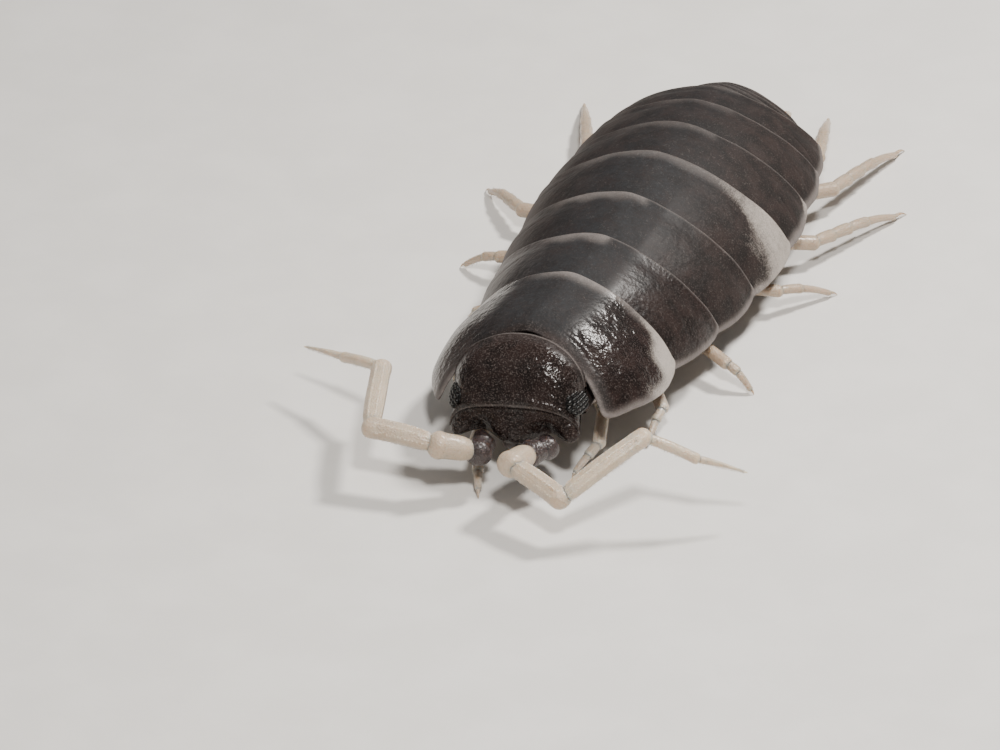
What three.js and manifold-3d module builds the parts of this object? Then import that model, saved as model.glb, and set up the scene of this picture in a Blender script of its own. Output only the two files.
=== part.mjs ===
// A pied woodlouse, life size, standing still on level ground.
// Millimetres and +Z up. The head looks towards -Y and the animal's left is +X.
// The origin is on the ground, at the middle of the whole animal's box.

import * as THREE from "three";
import { mergeVertices } from "three/addons/utils/BufferGeometryUtils.js";
import Module from "manifold-3d";

const wasm = await Module();
wasm.setup();

const { abs, cos, floor, max, PI, pow, sign, sin } = Math;
const { clamp, degToRad, lerp, smoothstep } = THREE.MathUtils;

// Driving dimensions. Plan positions are measured from the neck, the middle of the head's hind margin.
const EDGE_HEIGHT = 0.85; // from the ground to the side edges of the back plates
const GAP = 0.12; // between neighbouring pieces
const SEAT_GAP = 0.06; // round the eyes and the antennae in their sockets
const CENTRE = { x: -0.072, y: 4.559 }; // middle of the whole box, from the neck
const HEAD_TURN = -3; // degrees, positive to the animal's left
const HEAD_ROLL = -5; // degrees, negative lifts the left side

// Back plates 1 to 7: length along the back, half width and height of the hind margin, how far
// its corners sweep back, outward bow of the side edge, and turn and roll of the spine in degrees
const PEREONITES = [
  { length: 1.59, halfWidth: 1.84, height: 1.59, sweep: 0.16, bow: 0.27, turn: 3.3, roll: -1.5 },
  { length: 1.3, halfWidth: 2.05, height: 1.63, sweep: 0.3, bow: 0.06, turn: 3.4, roll: 1 },
  { length: 1.31, halfWidth: 2.18, height: 1.74, sweep: 0.31, bow: 0.06, turn: 3.2, roll: 2 },
  { length: 1.43, halfWidth: 2.32, height: 1.78, sweep: 0.31, bow: 0.06, turn: 1.6, roll: 1.5 },
  { length: 1.25, halfWidth: 2.23, height: 1.68, sweep: 0.31, bow: 0.06, turn: -1.2, roll: -1.5 },
  { length: 1.17, halfWidth: 2.1, height: 1.49, sweep: 0.31, bow: 0.06, turn: -1.2, roll: -2 },
  { length: 0.95, halfWidth: 1.86, height: 1.24, sweep: 0.31, bow: 0.05, turn: -1, roll: -1 },
];
const TRUNK_LENGTH = PEREONITES.reduce((sum, plate) => sum + plate.length, 0);
const NECK = {
  halfWidth: 1.44,
  height: 1.4,
  sweep: -0.6,
  sweepPower: 2.2,
  edge: 0.06,
  shift: -0.064, // of its middle, positive to the left
  turn: 0,
  roll: -4.4,
};
const NECK_GAP = 0.17; // wider than elsewhere, as the head is turned against the trunk

// Plates 1 to 5 of the tail, with the same measures and how far each lies below the trunk's level
const PLEONITES = [
  { length: 0.24, halfWidth: 1.32, height: 1.14, sweep: 0.14, drop: 0.02 },
  { length: 0.22, halfWidth: 1.35, height: 1.05, sweep: 0.18, drop: 0.06 },
  { length: 0.24, halfWidth: 1.32, height: 0.94, sweep: 0.22, drop: 0.11 },
  { length: 0.25, halfWidth: 1.22, height: 0.81, sweep: 0.24, drop: 0.16 },
  { length: 0.25, halfWidth: 1.06, height: 0.66, sweep: 0.2, drop: 0.22 },
];
const PLEON_STEP = { side: 0.03, height: 0.07, along: 0.03 }; // from each tail plate to the next
const PLEON_LENGTH = PLEONITES.reduce((sum, plate) => sum + plate.length, 0);
const TELSON = { length: 0.62, halfWidth: 0.45, height: 0.4, tip: 0.07, drop: [0.14, 0.3] };

// Form of the back plates
const ARCH_EXPONENT = 1.61; // 2 is a half ellipse, less is flatter at the sides
const SWEEP_POWER = 3.5; // how late across the back the hind margin sweeps back
const LIP = 0.1; // how far a plate's hind margin stands over the next plate's front
const NOTCH = 0.07; // how much narrower each plate starts than the one before ends
const BELLY = { reach: 0.45, depth: 0.05 };
const VAULT = { at: 0.74, rise: 0.34 }; // hollow under the side flaps, where the legs pass
const PLATE_COLUMNS = 20;
const PLATE_ROWS = [0, 0.28, 0.64, 1];

// Head, from the neck forwards, with heights over the plates' edge level
const HEAD_HALF_WIDTH = 1.14;
const HEAD_TAPER = 0.056; // how much narrower the front is
const HEAD_FRONT = -1.21;
const HEAD_CORNER_ROUNDING = 0.18;
const HEAD_ARCH_EXPONENT = 2.4;
const HEAD_SIDE_HEIGHTS = [0.6, 0.03]; // of the widest line, behind and in front
const HEAD_PROFILE = [
  [0, 1.3],
  [-0.3, 1.37],
  [-0.6, 1.3],
  [-0.84, 1.12],
  [-1.04, 0.82],
  [-1.19, 0.54],
  [-1.14, 0.46],
  [-1.2, 0.24],
  [-1.21, 0.02],
  [-1.08, -0.12],
  [-0.6, -0.12],
  [-0.22, -0.06],
  [0, 0.2],
  [0.02, 0.8],
];
const EYE = { x: 0.99, y: -0.8, z: 0.47, deep: 0.15, long: 0.27, tall: 0.23, lift: 24, toe: 14 };
const LATERAL_LOBE = { x: 0.95, y: -1.08, z: 0.08, radius: 0.13 };
const ANTENNULE = { x: 0.13, y: -1.2, z: -0.02, length: 0.2, radius: 0.06 };
const MOUTHPARTS = { y: -0.72, z: -0.45, halfWidth: 0.4, halfLength: 0.34, halfHeight: 0.2 };

// Antennae: length and end radius of each article, and the way it points on each side.
// A turn of 0 points straight ahead and +90 to the animal's left; a rise is over the level.
const ANTENNA_BASE = { x: 0.56, y: -1.19, z: -0.08 };
const ANTENNA_START_RADIUS = 0.19;
const ANTENNA_ARTICLES = [
  { length: 0.3, radius: 0.2 },
  { length: 0.27, radius: 0.22 },
  { length: 0.7, radius: 0.24 },
  { length: 1.18, radius: 0.25 },
  { length: 1.7, radius: 0.23 },
  { length: 0.94, radius: 0.17 },
  { length: 0.9, radius: 0.06 },
];
const ANTENNA_POSES = {
  left: { turn: [18, -52, -17, 57, 126, 98, 109], rise: [4, 2, 12, -12, 25, -28, -25] },
  right: { turn: [20, -3, -66, -95, -173, -123, -117], rise: [1, 2, 22, 11, 6, -8, -4] },
};

// Legs 1 to 7 of each side: where the knee and the toe are in plan
const LEG_POSES = {
  left: [
    { knee: [1.16, -0.2], toe: [0.92, -0.88] },
    { knee: [1.86, 1.05], toe: [1.78, 0.42] },
    { knee: [2.42, 2.78], toe: [2.95, 2.66] },
    { knee: [2.52, 5.35], toe: [3.29, 6.27] },
    { knee: [2.6, 7.1], toe: [3.61, 9.28] },
    { knee: [2.36, 8.98], toe: [2.93, 11.4] },
    { knee: [1.78, 9.98], toe: [1.34, 12.05] },
  ],
  right: [
    { knee: [-0.78, -0.75], toe: [-0.34, -1.99] },
    { knee: [-1.8, 1.2], toe: [-1.6, 0.55] },
    { knee: [-2.1, 3.0], toe: [-2.2, 2.2] },
    { knee: [-2.35, 4.9], toe: [-3.11, 5.07] },
    { knee: [-2.5, 6.55], toe: [-3.56, 7.7] },
    { knee: [-2.1, 8.9], toe: [-2.92, 11.15] },
    { knee: [-1.52, 9.9], toe: [-1.2, 11.85] },
  ],
};
const COXA = { reach: 0.5, radius: 0.25 }; // reach as a share of the plate's half width
const KNEE = { height: 0.45, radius: 0.24 };
const WRIST = { share: 0.52, height: 0.33, radius: 0.19 };
const TOE = { height: 0.1, radius: 0.13 };
const LOWERED = { knee: 0.34, wrist: 0.21 }; // heights of leg 1, which passes below the head

// Uropods: side, distance behind the tail plates' end and height over the edge level
const UROPOD = {
  root: [0.66, 0.36, -0.12],
  fork: [0.66, 0.58, -0.2],
  outer: [0.62, 1.3, -0.52],
  inner: [0.34, 0.98, -0.34],
  radius: 0.18,
};

// Colours
const CUTICLE = new THREE.Color(0.085, 0.078, 0.088);
const PALE_CUTICLE = new THREE.Color(0.5, 0.46, 0.43);
const PALE_LIMB = new THREE.Color(0.8, 0.74, 0.68);
const EYE_BLACK = new THREE.Color(0.012, 0.012, 0.014);

function makeMesh(name, geometry, color, roughness) {
  const material = new THREE.MeshStandardMaterial({ color, roughness, metalness: 0 });
  const mesh = new THREE.Mesh(geometry, material);
  mesh.name = name;
  return mesh;
}

// Midline of the trunk, a curve that turns and rolls from plate to plate

const SPINE_STEP = 0.05;
const SPINE_BENDS = makeSpineBends();
const SPINE_POINTS = makeSpinePoints();

function makeSpineBends() {
  const bends = [{ station: 0, turn: NECK.turn, roll: NECK.roll }];
  let front = 0;
  for (const { length, turn, roll } of PEREONITES) {
    bends.push({ station: front + length / 2, turn, roll });
    front += length;
  }
  return bends;
}

// Turn or roll of the spine at a station, in radians
function spineAngle(kind, station) {
  const next = SPINE_BENDS.findIndex((bend) => bend.station > station);
  const after = SPINE_BENDS.at(next);
  if (next < 1) {
    return degToRad(after[kind]);
  }
  const before = SPINE_BENDS[next - 1];
  const share = (station - before.station) / (after.station - before.station);
  return degToRad(lerp(before[kind], after[kind], share));
}

function spineDirection(station) {
  const turn = spineAngle("turn", station);
  return new THREE.Vector2(sin(turn), cos(turn));
}

function makeSpinePoints() {
  const points = [new THREE.Vector2(0, 0)];
  const steps = (TRUNK_LENGTH + PLEON_LENGTH + 2) / SPINE_STEP;
  for (let step = 0; step < steps; step += 1) {
    const direction = spineDirection((step + 0.5) * SPINE_STEP);
    points.push(points.at(-1).clone().addScaledVector(direction, SPINE_STEP));
  }
  return points;
}

// A point in space from its station along the spine, its distance to the left, and its height
function place(station, side, height) {
  const index = clamp(floor(station / SPINE_STEP), 0, SPINE_POINTS.length - 1);
  const direction = spineDirection(station);
  const roll = spineAngle("roll", station);
  const across = side * cos(roll) + height * sin(roll);
  const onSpine = SPINE_POINTS[index].clone();
  onSpine.addScaledVector(direction, station - index * SPINE_STEP);
  return new THREE.Vector3(
    onSpine.x + across * direction.y,
    onSpine.y - across * direction.x,
    EDGE_HEIGHT + height * cos(roll) - side * sin(roll),
  );
}

// Closed surfaces

function closedGeometry(points, faces) {
  const geometry = new THREE.BufferGeometry();
  geometry.setAttribute("position", new THREE.Float32BufferAttribute(points.flatMap((p) => p.toArray()), 3));
  geometry.setIndex(faces.flat());
  return tidyGeometry(geometry);
}

// Merges shared corners, drops faces without area, and turns the faces outwards
function tidyGeometry(geometry) {
  const plain = geometry.clone();
  plain.deleteAttribute("normal");
  plain.deleteAttribute("uv");
  const merged = mergeVertices(plain, 1e-4);
  const faces = [];
  for (let i = 0; i < merged.index.count; i += 3) {
    const face = [0, 1, 2].map((corner) => merged.index.getX(i + corner));
    if (new Set(face).size === 3) {
      faces.push(face);
    }
  }
  if (signedVolume(merged, faces) < 0) {
    faces.forEach((face) => face.reverse());
  }
  merged.setIndex(faces.flat());
  merged.computeVertexNormals();
  return merged;
}

function signedVolume(geometry, faces) {
  const corner = (index) => new THREE.Vector3().fromBufferAttribute(geometry.attributes.position, index);
  let volume = 0;
  for (const [a, b, c] of faces) {
    volume += corner(a).dot(corner(b).cross(corner(c))) / 6;
  }
  return volume;
}

// A plate between two grids of points that share their first and last columns
function slab(topRows, underRows) {
  const columns = topRows[0].length;
  const underStart = topRows.length * columns;
  const faces = [];
  const addQuad = (a, b, c, d) => faces.push([a, b, c], [a, c, d]);
  for (let row = 0; row + 1 < topRows.length; row += 1) {
    for (let column = 0; column + 1 < columns; column += 1) {
      const here = row * columns + column;
      addQuad(here, here + 1, here + columns + 1, here + columns);
      const below = underStart + here;
      faces.push([below, below + columns + 1, below + 1], [below, below + columns, below + columns + 1]);
    }
  }
  const lastRow = (topRows.length - 1) * columns;
  for (let column = 0; column + 1 < columns; column += 1) {
    addQuad(underStart + column, underStart + column + 1, column + 1, column);
    const hind = lastRow + column;
    addQuad(hind, hind + 1, underStart + hind + 1, underStart + hind);
  }
  return closedGeometry([...topRows.flat(), ...underRows.flat()], faces);
}

// A body through a row of closed outlines, each of the same number of points
function loft(outlines) {
  const count = outlines[0].length;
  const faces = [];
  for (let ring = 0; ring + 1 < outlines.length; ring += 1) {
    for (let point = 0; point < count; point += 1) {
      const a = ring * count + point;
      const b = ring * count + ((point + 1) % count);
      faces.push([a, b, b + count], [a, b + count, a + count]);
    }
  }
  const centres = [outlines[0], outlines.at(-1)].map(
    (outline) => outline.reduce((sum, p) => sum.add(p), new THREE.Vector3()).divideScalar(count),
  );
  const firstCentre = outlines.length * count;
  const lastRing = (outlines.length - 1) * count;
  for (let point = 0; point < count; point += 1) {
    const next = (point + 1) % count;
    faces.push([firstCentre, next, point]);
    faces.push([firstCentre + 1, lastRing + point, lastRing + next]);
  }
  return closedGeometry([...outlines.flat(), ...centres], faces);
}

// Joining and cutting

function toSolid(geometry) {
  const tidy = tidyGeometry(geometry);
  return new wasm.Manifold(
    new wasm.Mesh({
      numProp: 3,
      vertProperties: Float32Array.from(tidy.attributes.position.array),
      triVerts: Uint32Array.from(tidy.index.array),
    }),
  );
}

function toGeometry(solid) {
  const largest = solid.decompose().reduce((best, piece) => (piece.volume() > best.volume() ? piece : best));
  const { vertProperties, triVerts } = largest.getMesh();
  const geometry = new THREE.BufferGeometry();
  geometry.setAttribute("position", new THREE.BufferAttribute(vertProperties, 3));
  geometry.setIndex(new THREE.BufferAttribute(triVerts, 1));
  geometry.computeVertexNormals();
  return geometry;
}

function join(geometries) {
  return geometries.map(toSolid).reduce((whole, piece) => whole.add(piece));
}

// Back plates

function underHeight(share, edge) {
  if (share < VAULT.at) {
    return lerp(-BELLY.depth, VAULT.rise, smoothstep(share, BELLY.reach, VAULT.at));
  }
  return lerp(VAULT.rise, edge, smoothstep(share, VAULT.at, 1));
}

// One row of points across the back, and the row of the underside below it
function plateRow({ station, halfWidth, height, sweep, sweepPower = SWEEP_POWER, edge = 0, shift = 0, under }) {
  const row = { top: [], under: [] };
  for (let column = 0; column <= PLATE_COLUMNS; column += 1) {
    const angle = lerp(-PI / 2, PI / 2, column / PLATE_COLUMNS);
    const share = pow(abs(sin(angle)), 2 / ARCH_EXPONENT);
    const side = shift + sign(sin(angle)) * share * halfWidth;
    const rise = height * pow(max(cos(angle), 0), 2 / ARCH_EXPONENT);
    const along = station + sweep * pow(abs(sin(angle)), sweepPower);
    const outer = column === 0 || column === PLATE_COLUMNS;
    row.top.push(place(along, side, outer ? edge : rise + edge * pow(share, 4)));
    row.under.push(place(along, side, outer ? edge : under(share, edge)));
  }
  return row;
}

function slabOfRows(rows) {
  return slab(rows.map((row) => row.top), rows.map((row) => row.under));
}

function makePlate(front, hind, frontStation, hindStation) {
  const rows = PLATE_ROWS.map((share) =>
    plateRow({
      station: lerp(frontStation, hindStation, share),
      halfWidth: lerp(front.halfWidth, hind.halfWidth, share) + hind.bow * sin(PI * share),
      height: lerp(front.height, hind.height, share) - LIP * pow(1 - share, 2),
      sweep: lerp(front.sweep, hind.sweep, share),
      sweepPower: lerp(front.sweepPower ?? SWEEP_POWER, SWEEP_POWER, share),
      edge: lerp(front.edge ?? 0, 0, share),
      shift: lerp(front.shift ?? 0, 0, share),
      under: underHeight,
    }),
  );
  return slabOfRows(rows);
}

function addPereonites(group) {
  let front = NECK;
  let station = 0;
  PEREONITES.forEach((plate, index) => {
    const start = index === 0 ? 0 : station + GAP;
    const geometry = makePlate(front, plate, start, station + plate.length);
    group.add(makeMesh(`pereonite_${index + 1}`, geometry, CUTICLE, 0.42));
    front = { ...plate, halfWidth: plate.halfWidth - NOTCH };
    station += plate.length;
  });
}

// Tail: five short stepped plates in one piece, the telson and the uropods

function pleonRow({ halfWidth, height, sweep, drop }, station) {
  const under = () => -drop - BELLY.depth;
  return plateRow({ station, halfWidth, height: height + drop, sweep, edge: -drop, under });
}

function addPleon(group) {
  const rows = [];
  let station = TRUNK_LENGTH;
  PLEONITES.forEach((plate, index) => {
    const before = index === 0 ? plate : PLEONITES[index - 1];
    const halfWidth = before.halfWidth - PLEON_STEP.side;
    const height = before.height - PLEON_STEP.height;
    const start = station + (index === 0 ? GAP : PLEON_STEP.along);
    rows.push(pleonRow({ ...before, halfWidth, height }, start));
    station += plate.length;
    rows.push(pleonRow(plate, station));
  });
  group.add(makeMesh("pleon", slabOfRows(rows), CUTICLE, 0.45));
}

const TELSON_ROWS = [0, 0.35, 0.7, 1];
const TELSON_SIDES = 12;

function addTelson(group) {
  const start = TRUNK_LENGTH + PLEON_LENGTH + GAP;
  const outlines = TELSON_ROWS.map((share) => {
    const halfWidth = lerp(TELSON.halfWidth, TELSON.tip, pow(share, 0.8));
    const height = lerp(TELSON.height, 2 * TELSON.tip, share);
    const foot = -lerp(...TELSON.drop, share);
    return Array.from({ length: TELSON_SIDES }, (_, point) => {
      const angle = (2 * PI * point) / TELSON_SIDES;
      const rise = foot + (height / 2) * (1 + sin(angle));
      return place(start + share * TELSON.length, halfWidth * cos(angle), rise);
    });
  });
  group.add(makeMesh("telson", loft(outlines), CUTICLE, 0.45));
}

function addUropods(group) {
  const start = TRUNK_LENGTH + PLEON_LENGTH;
  for (const [name, mirror] of [["left", 1], ["right", -1]]) {
    const at = ([side, along, height]) => place(start + along, mirror * side, height);
    const fork = at(UROPOD.fork);
    const stem = makeArticle(at(UROPOD.root), fork, UROPOD.radius, UROPOD.radius);
    const outer = makeArticle(fork, at(UROPOD.outer), 0.9 * UROPOD.radius, 0.25 * UROPOD.radius);
    const inner = makeArticle(fork, at(UROPOD.inner), 0.6 * UROPOD.radius, 0.25 * UROPOD.radius);
    group.add(makeMesh(`uropod_${name}`, toGeometry(join([stem, outer, inner])), PALE_CUTICLE, 0.5));
  }
}

// Limbs: chains of round articles

const ARTICLE_SIDES = 8;

// A tapered stem with rounded ends, from one joint to the next
function makeArticle(from, to, startRadius, endRadius) {
  const length = from.distanceTo(to);
  const profile = [
    [0, -0.9 * startRadius],
    [0.72 * startRadius, -0.58 * startRadius],
    [startRadius, 0],
    [endRadius, length],
    [0.72 * endRadius, length + 0.58 * endRadius],
    [0, length + 0.9 * endRadius],
  ].map(([radius, along]) => new THREE.Vector2(radius, along));
  const geometry = new THREE.LatheGeometry(profile, ARTICLE_SIDES);
  const direction = to.clone().sub(from).normalize();
  const turn = new THREE.Quaternion().setFromUnitVectors(new THREE.Vector3(0, 1, 0), direction);
  return geometry.applyQuaternion(turn).translate(from.x, from.y, from.z);
}

function makeChain(points, radii) {
  const articles = [];
  for (let index = 0; index + 1 < points.length; index += 1) {
    articles.push(makeArticle(points[index], points[index + 1], radii[index], radii[index + 1]));
  }
  return join(articles);
}

// Legs, each from below its plate over a knee and a wrist to a small flat toe on the ground

function groundSolid() {
  const size = 60;
  return toSolid(new THREE.BoxGeometry(size, size, size).translate(0, 0, -size / 2));
}

function addLegs(group) {
  const ground = groundSolid();
  for (const [name, mirror] of [["left", 1], ["right", -1]]) {
    let station = 0;
    PEREONITES.forEach((plate, index) => {
      const { knee, toe } = LEG_POSES[name][index];
      const coxaHeight = -BELLY.depth - GAP - COXA.radius;
      const side = mirror * COXA.reach * plate.halfWidth;
      const heights = index === 0 ? LOWERED : { knee: KNEE.height, wrist: WRIST.height };
      const kneePoint = new THREE.Vector3(...knee, heights.knee);
      const toePoint = new THREE.Vector3(...toe, TOE.height);
      const wrist = kneePoint.clone().lerp(toePoint, WRIST.share).setZ(heights.wrist);
      const points = [place(station + plate.length / 2, side, coxaHeight), kneePoint, wrist, toePoint];
      const limb = makeChain(points, [COXA.radius, KNEE.radius, WRIST.radius, TOE.radius]);
      const geometry = toGeometry(limb.subtract(ground));
      group.add(makeMesh(`leg_${name}_${index + 1}`, geometry, PALE_LIMB, 0.35));
      station += plate.length;
    });
  }
}

// Head

// One upright outline of the head. Its hind margin follows the front margin of the first plate.
function headOutline(share) {
  const front = HEAD_FRONT + HEAD_CORNER_ROUNDING * pow(abs(share), 5);
  const squeeze = pow(1 - pow(abs(share), HEAD_ARCH_EXPONENT), 1 / HEAD_ARCH_EXPONENT);
  return HEAD_PROFILE.map(([y, z]) => {
    const forward = y / HEAD_FRONT;
    const x = share * (HEAD_HALF_WIDTH - HEAD_TAPER * forward);
    const reach = pow(abs(x - NECK.shift) / NECK.halfWidth, (NECK.sweepPower * ARCH_EXPONENT) / 2);
    const along = lerp(NECK.sweep * reach - NECK_GAP, front, forward);
    const sideHeight = lerp(...HEAD_SIDE_HEIGHTS, forward);
    return new THREE.Vector3(x, along, EDGE_HEIGHT + lerp(sideHeight, z, squeeze));
  });
}

function ellipsoid(radii, grow = 0) {
  const sphere = new THREE.SphereGeometry(1, 14, 9);
  return sphere.scale(radii[0] + grow, radii[1] + grow, radii[2] + grow);
}

// An eye, or with some growth the socket it sits in
function eyeGeometry(mirror, grow = 0) {
  const eye = ellipsoid([EYE.deep, EYE.long, EYE.tall], grow);
  eye.rotateY(-mirror * degToRad(EYE.lift));
  eye.rotateZ(-mirror * degToRad(EYE.toe));
  return eye.translate(mirror * EYE.x, EYE.y, EDGE_HEIGHT + EYE.z);
}

function antennaPoints(name) {
  const mirror = name === "left" ? 1 : -1;
  const { turn, rise } = ANTENNA_POSES[name];
  const { x, y, z } = ANTENNA_BASE;
  const points = [new THREE.Vector3(mirror * x, y, EDGE_HEIGHT + z)];
  ANTENNA_ARTICLES.forEach(({ length }, index) => {
    const heading = degToRad(turn[index] - HEAD_TURN);
    const climb = degToRad(rise[index]);
    const step = new THREE.Vector3(sin(heading) * cos(climb), -cos(heading) * cos(climb), sin(climb));
    points.push(points.at(-1).clone().addScaledVector(step, length));
  });
  return points;
}

function antennaSocket(name) {
  const [base, joint] = antennaPoints(name);
  const radius = ANTENNA_START_RADIUS + SEAT_GAP;
  return makeArticle(base, joint, radius, ANTENNA_ARTICLES[0].radius + SEAT_GAP);
}

function addHead(group) {
  const shares = Array.from({ length: 15 }, (_, index) => sin(degToRad(lerp(-81, 81, index / 14))));
  const { x, y, z, length, radius } = ANTENNULE;
  const pieces = [loft(shares.map(headOutline))];
  for (const mirror of [1, -1]) {
    const lobe = new THREE.SphereGeometry(LATERAL_LOBE.radius, 10, 7);
    lobe.translate(mirror * LATERAL_LOBE.x, LATERAL_LOBE.y, EDGE_HEIGHT + LATERAL_LOBE.z);
    pieces.push(lobe);
    const root = new THREE.Vector3(mirror * x, y, EDGE_HEIGHT + z);
    const tip = root.clone().add(new THREE.Vector3(0, -length, 0));
    pieces.push(makeArticle(root, tip, radius, 0.7 * radius));
  }
  const sockets = [eyeGeometry(1, SEAT_GAP), eyeGeometry(-1, SEAT_GAP)];
  sockets.push(antennaSocket("left"), antennaSocket("right"));
  const head = join(pieces).subtract(join(sockets));
  group.add(makeMesh("head", toGeometry(head), CUTICLE, 0.4));
}

function addEyes(group) {
  group.add(makeMesh("eye_left", tidyGeometry(eyeGeometry(1)), EYE_BLACK, 0.1));
  group.add(makeMesh("eye_right", tidyGeometry(eyeGeometry(-1)), EYE_BLACK, 0.1));
}

function addAntennae(group) {
  const radii = [ANTENNA_START_RADIUS, ...ANTENNA_ARTICLES.map((article) => article.radius)];
  for (const name of ["left", "right"]) {
    const geometry = toGeometry(makeChain(antennaPoints(name), radii));
    group.add(makeMesh(`antenna_${name}`, geometry, PALE_LIMB, 0.4));
  }
}

function addMouthparts(group) {
  const { y, z, halfWidth, halfLength, halfHeight } = MOUTHPARTS;
  const geometry = ellipsoid([halfWidth, halfLength, halfHeight]).translate(0, y, EDGE_HEIGHT + z);
  group.add(makeMesh("mouthparts", tidyGeometry(geometry), PALE_CUTICLE, 0.5));
}

// Assembly

const animal = new THREE.Group();
animal.position.set(-CENTRE.x, -CENTRE.y, 0);

const headGroup = new THREE.Group();
headGroup.rotation.set(0, degToRad(HEAD_ROLL), -degToRad(HEAD_TURN));
addHead(headGroup);
addEyes(headGroup);
addAntennae(headGroup);
addMouthparts(headGroup);
animal.add(headGroup);

addPereonites(animal);
addPleon(animal);
addTelson(animal);
addUropods(animal);
addLegs(animal);

const woodlouse = new THREE.Group();
woodlouse.add(animal);

export default woodlouse;
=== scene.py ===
# The look of a woodlouse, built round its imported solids.
# Shapes are worked out in millimetres, in plan from the neck, the middle of the head's hind
# margin, and in height from the ground. to_frame() turns them into the frame's metres.
# The head looks towards -Y, and +X is the animal's left.

from typing import NamedTuple

import bpy
import numpy as np
from mathutils import Matrix, Vector


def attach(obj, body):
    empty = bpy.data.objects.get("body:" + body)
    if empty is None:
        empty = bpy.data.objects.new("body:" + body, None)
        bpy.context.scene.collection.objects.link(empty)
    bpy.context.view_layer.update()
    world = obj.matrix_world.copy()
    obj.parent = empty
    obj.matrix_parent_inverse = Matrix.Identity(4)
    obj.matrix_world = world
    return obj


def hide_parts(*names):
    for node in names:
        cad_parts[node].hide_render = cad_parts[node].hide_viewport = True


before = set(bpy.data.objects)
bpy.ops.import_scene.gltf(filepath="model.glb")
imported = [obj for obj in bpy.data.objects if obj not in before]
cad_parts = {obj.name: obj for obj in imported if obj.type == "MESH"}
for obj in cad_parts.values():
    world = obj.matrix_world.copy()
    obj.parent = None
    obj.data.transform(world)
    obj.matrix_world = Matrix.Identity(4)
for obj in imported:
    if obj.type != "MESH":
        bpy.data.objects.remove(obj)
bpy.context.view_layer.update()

MM = 0.001
PI = np.pi
TINY = 1e-12  # keeps divisions in range
SIDES = {"left": 1, "right": -1}  # of the animal, with their directions along x

# Driving dimensions, the same as those of the solids
EDGE_HEIGHT = 0.85  # from the ground to the side edges of the back plates
CENTRE = np.array([-0.072, 4.559, 0.0])  # middle of the whole box, from the neck
HEAD_TURN = -3  # degrees, positive to the animal's left
HEAD_ROLL = -5  # degrees, negative lifts the left side


class Plate(NamedTuple):
    """A back plate, with the measures of its hind margin."""

    length: float
    half_width: float
    height: float
    sweep: float  # how far its corners sweep back
    bow: float = 0.0  # outward bow of the side edge
    turn: float = 0.0  # degrees, of the spine
    roll: float = 0.0  # degrees, of the spine
    drop: float = 0.0  # how far its side edge lies below the trunk's level
    edge: float = 0.0  # how far its side edge is raised at the front
    shift: float = 0.0  # of its middle, positive to the left
    sweep_power: float = 3.5  # how late across the back the margin sweeps back


PEREONITES = [
    Plate(1.59, 1.84, 1.59, 0.16, 0.27, 3.3, -1.5),
    Plate(1.3, 2.05, 1.63, 0.3, 0.06, 3.4, 1),
    Plate(1.31, 2.18, 1.74, 0.31, 0.06, 3.2, 2),
    Plate(1.43, 2.32, 1.78, 0.31, 0.06, 1.6, 1.5),
    Plate(1.25, 2.23, 1.68, 0.31, 0.06, -1.2, -1.5),
    Plate(1.17, 2.1, 1.49, 0.31, 0.06, -1.2, -2),
    Plate(0.95, 1.86, 1.24, 0.31, 0.05, -1, -1),
]
NECK = Plate(0, 1.44, 1.4, -0.6, roll=-4.4, edge=0.06, shift=-0.064, sweep_power=2.2)
NECK_GAP = 0.11  # narrower than between the solids, as a dark skin fills it
PLEONITES = [
    Plate(0.24, 1.32, 1.14, 0.14, drop=0.02),
    Plate(0.22, 1.35, 1.05, 0.18, drop=0.06),
    Plate(0.24, 1.32, 0.94, 0.22, drop=0.11),
    Plate(0.25, 1.22, 0.81, 0.24, drop=0.16),
    Plate(0.25, 1.06, 0.66, 0.2, drop=0.22),
]
BODY = [NECK, *PEREONITES, *PLEONITES]
HIND_MARGINS = np.cumsum([plate.length for plate in BODY])  # their stations along the spine
TRUNK_LENGTH = HIND_MARGINS[len(PEREONITES)]
TAIL_END = HIND_MARGINS[-1]

# Form of the back plates
ARCH_EXPONENT = 1.61
LIP = 0.1  # how far a plate's hind margin stands over the next plate's front
NOTCH = 0.07  # how much narrower each plate starts than the one before ends
TUCK = 0.2  # how far a plate reaches forward under the one before
SHELL = 0.05  # thickness of a plate
CORNER = 0.26  # rounding of a plate's corners
FIRST_CORNER = 0.17  # rounding of the first plate's front corners


def lerp(start, end, share):
    return start + (end - start) * share


def smooth_step(value, low, high):
    """A smooth rise from 0 to 1, as the value goes from low to high."""
    share = np.clip((value - low) / (high - low), 0, 1)
    return share * share * (3 - 2 * share)


def fade(value, low, high):
    """A smooth fall from 1 to 0, as the value goes from low to high."""
    return 1 - smooth_step(value, low, high)


def window(value, low, full, ebb, high):
    """1 between full and ebb, and 0 below low and above high."""
    return smooth_step(value, low, full) * fade(value, ebb, high)


def bell(value, centre, width):
    return np.exp(-(((value - centre) / width) ** 2))


def rounded_edge(distance, radius):
    """Height of a rounded edge at a distance from it, as a share of its radius."""
    return np.sqrt(1 - np.clip(1 - distance / radius, 0, 1) ** 2)


class Ridge(NamedTuple):
    """A rounded ridge along a line, or where its height is negative a groove."""

    height: float
    place: float  # distance from the line
    width: float

    def at(self, distance):
        return self.height * bell(distance, self.place, self.width)


def unit(vectors):
    vectors = np.asarray(vectors, float)
    return vectors / np.linalg.norm(vectors, axis=-1, keepdims=True)


def running_total(steps):
    """Totals of the steps along the last axis, starting at 0."""
    return np.insert(np.cumsum(steps, axis=-1), 0, 0, axis=-1)


def to_frame(points):
    """Points in millimetres from the neck, as metres in the frame."""
    return (np.asarray(points, float) - CENTRE) * MM


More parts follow.
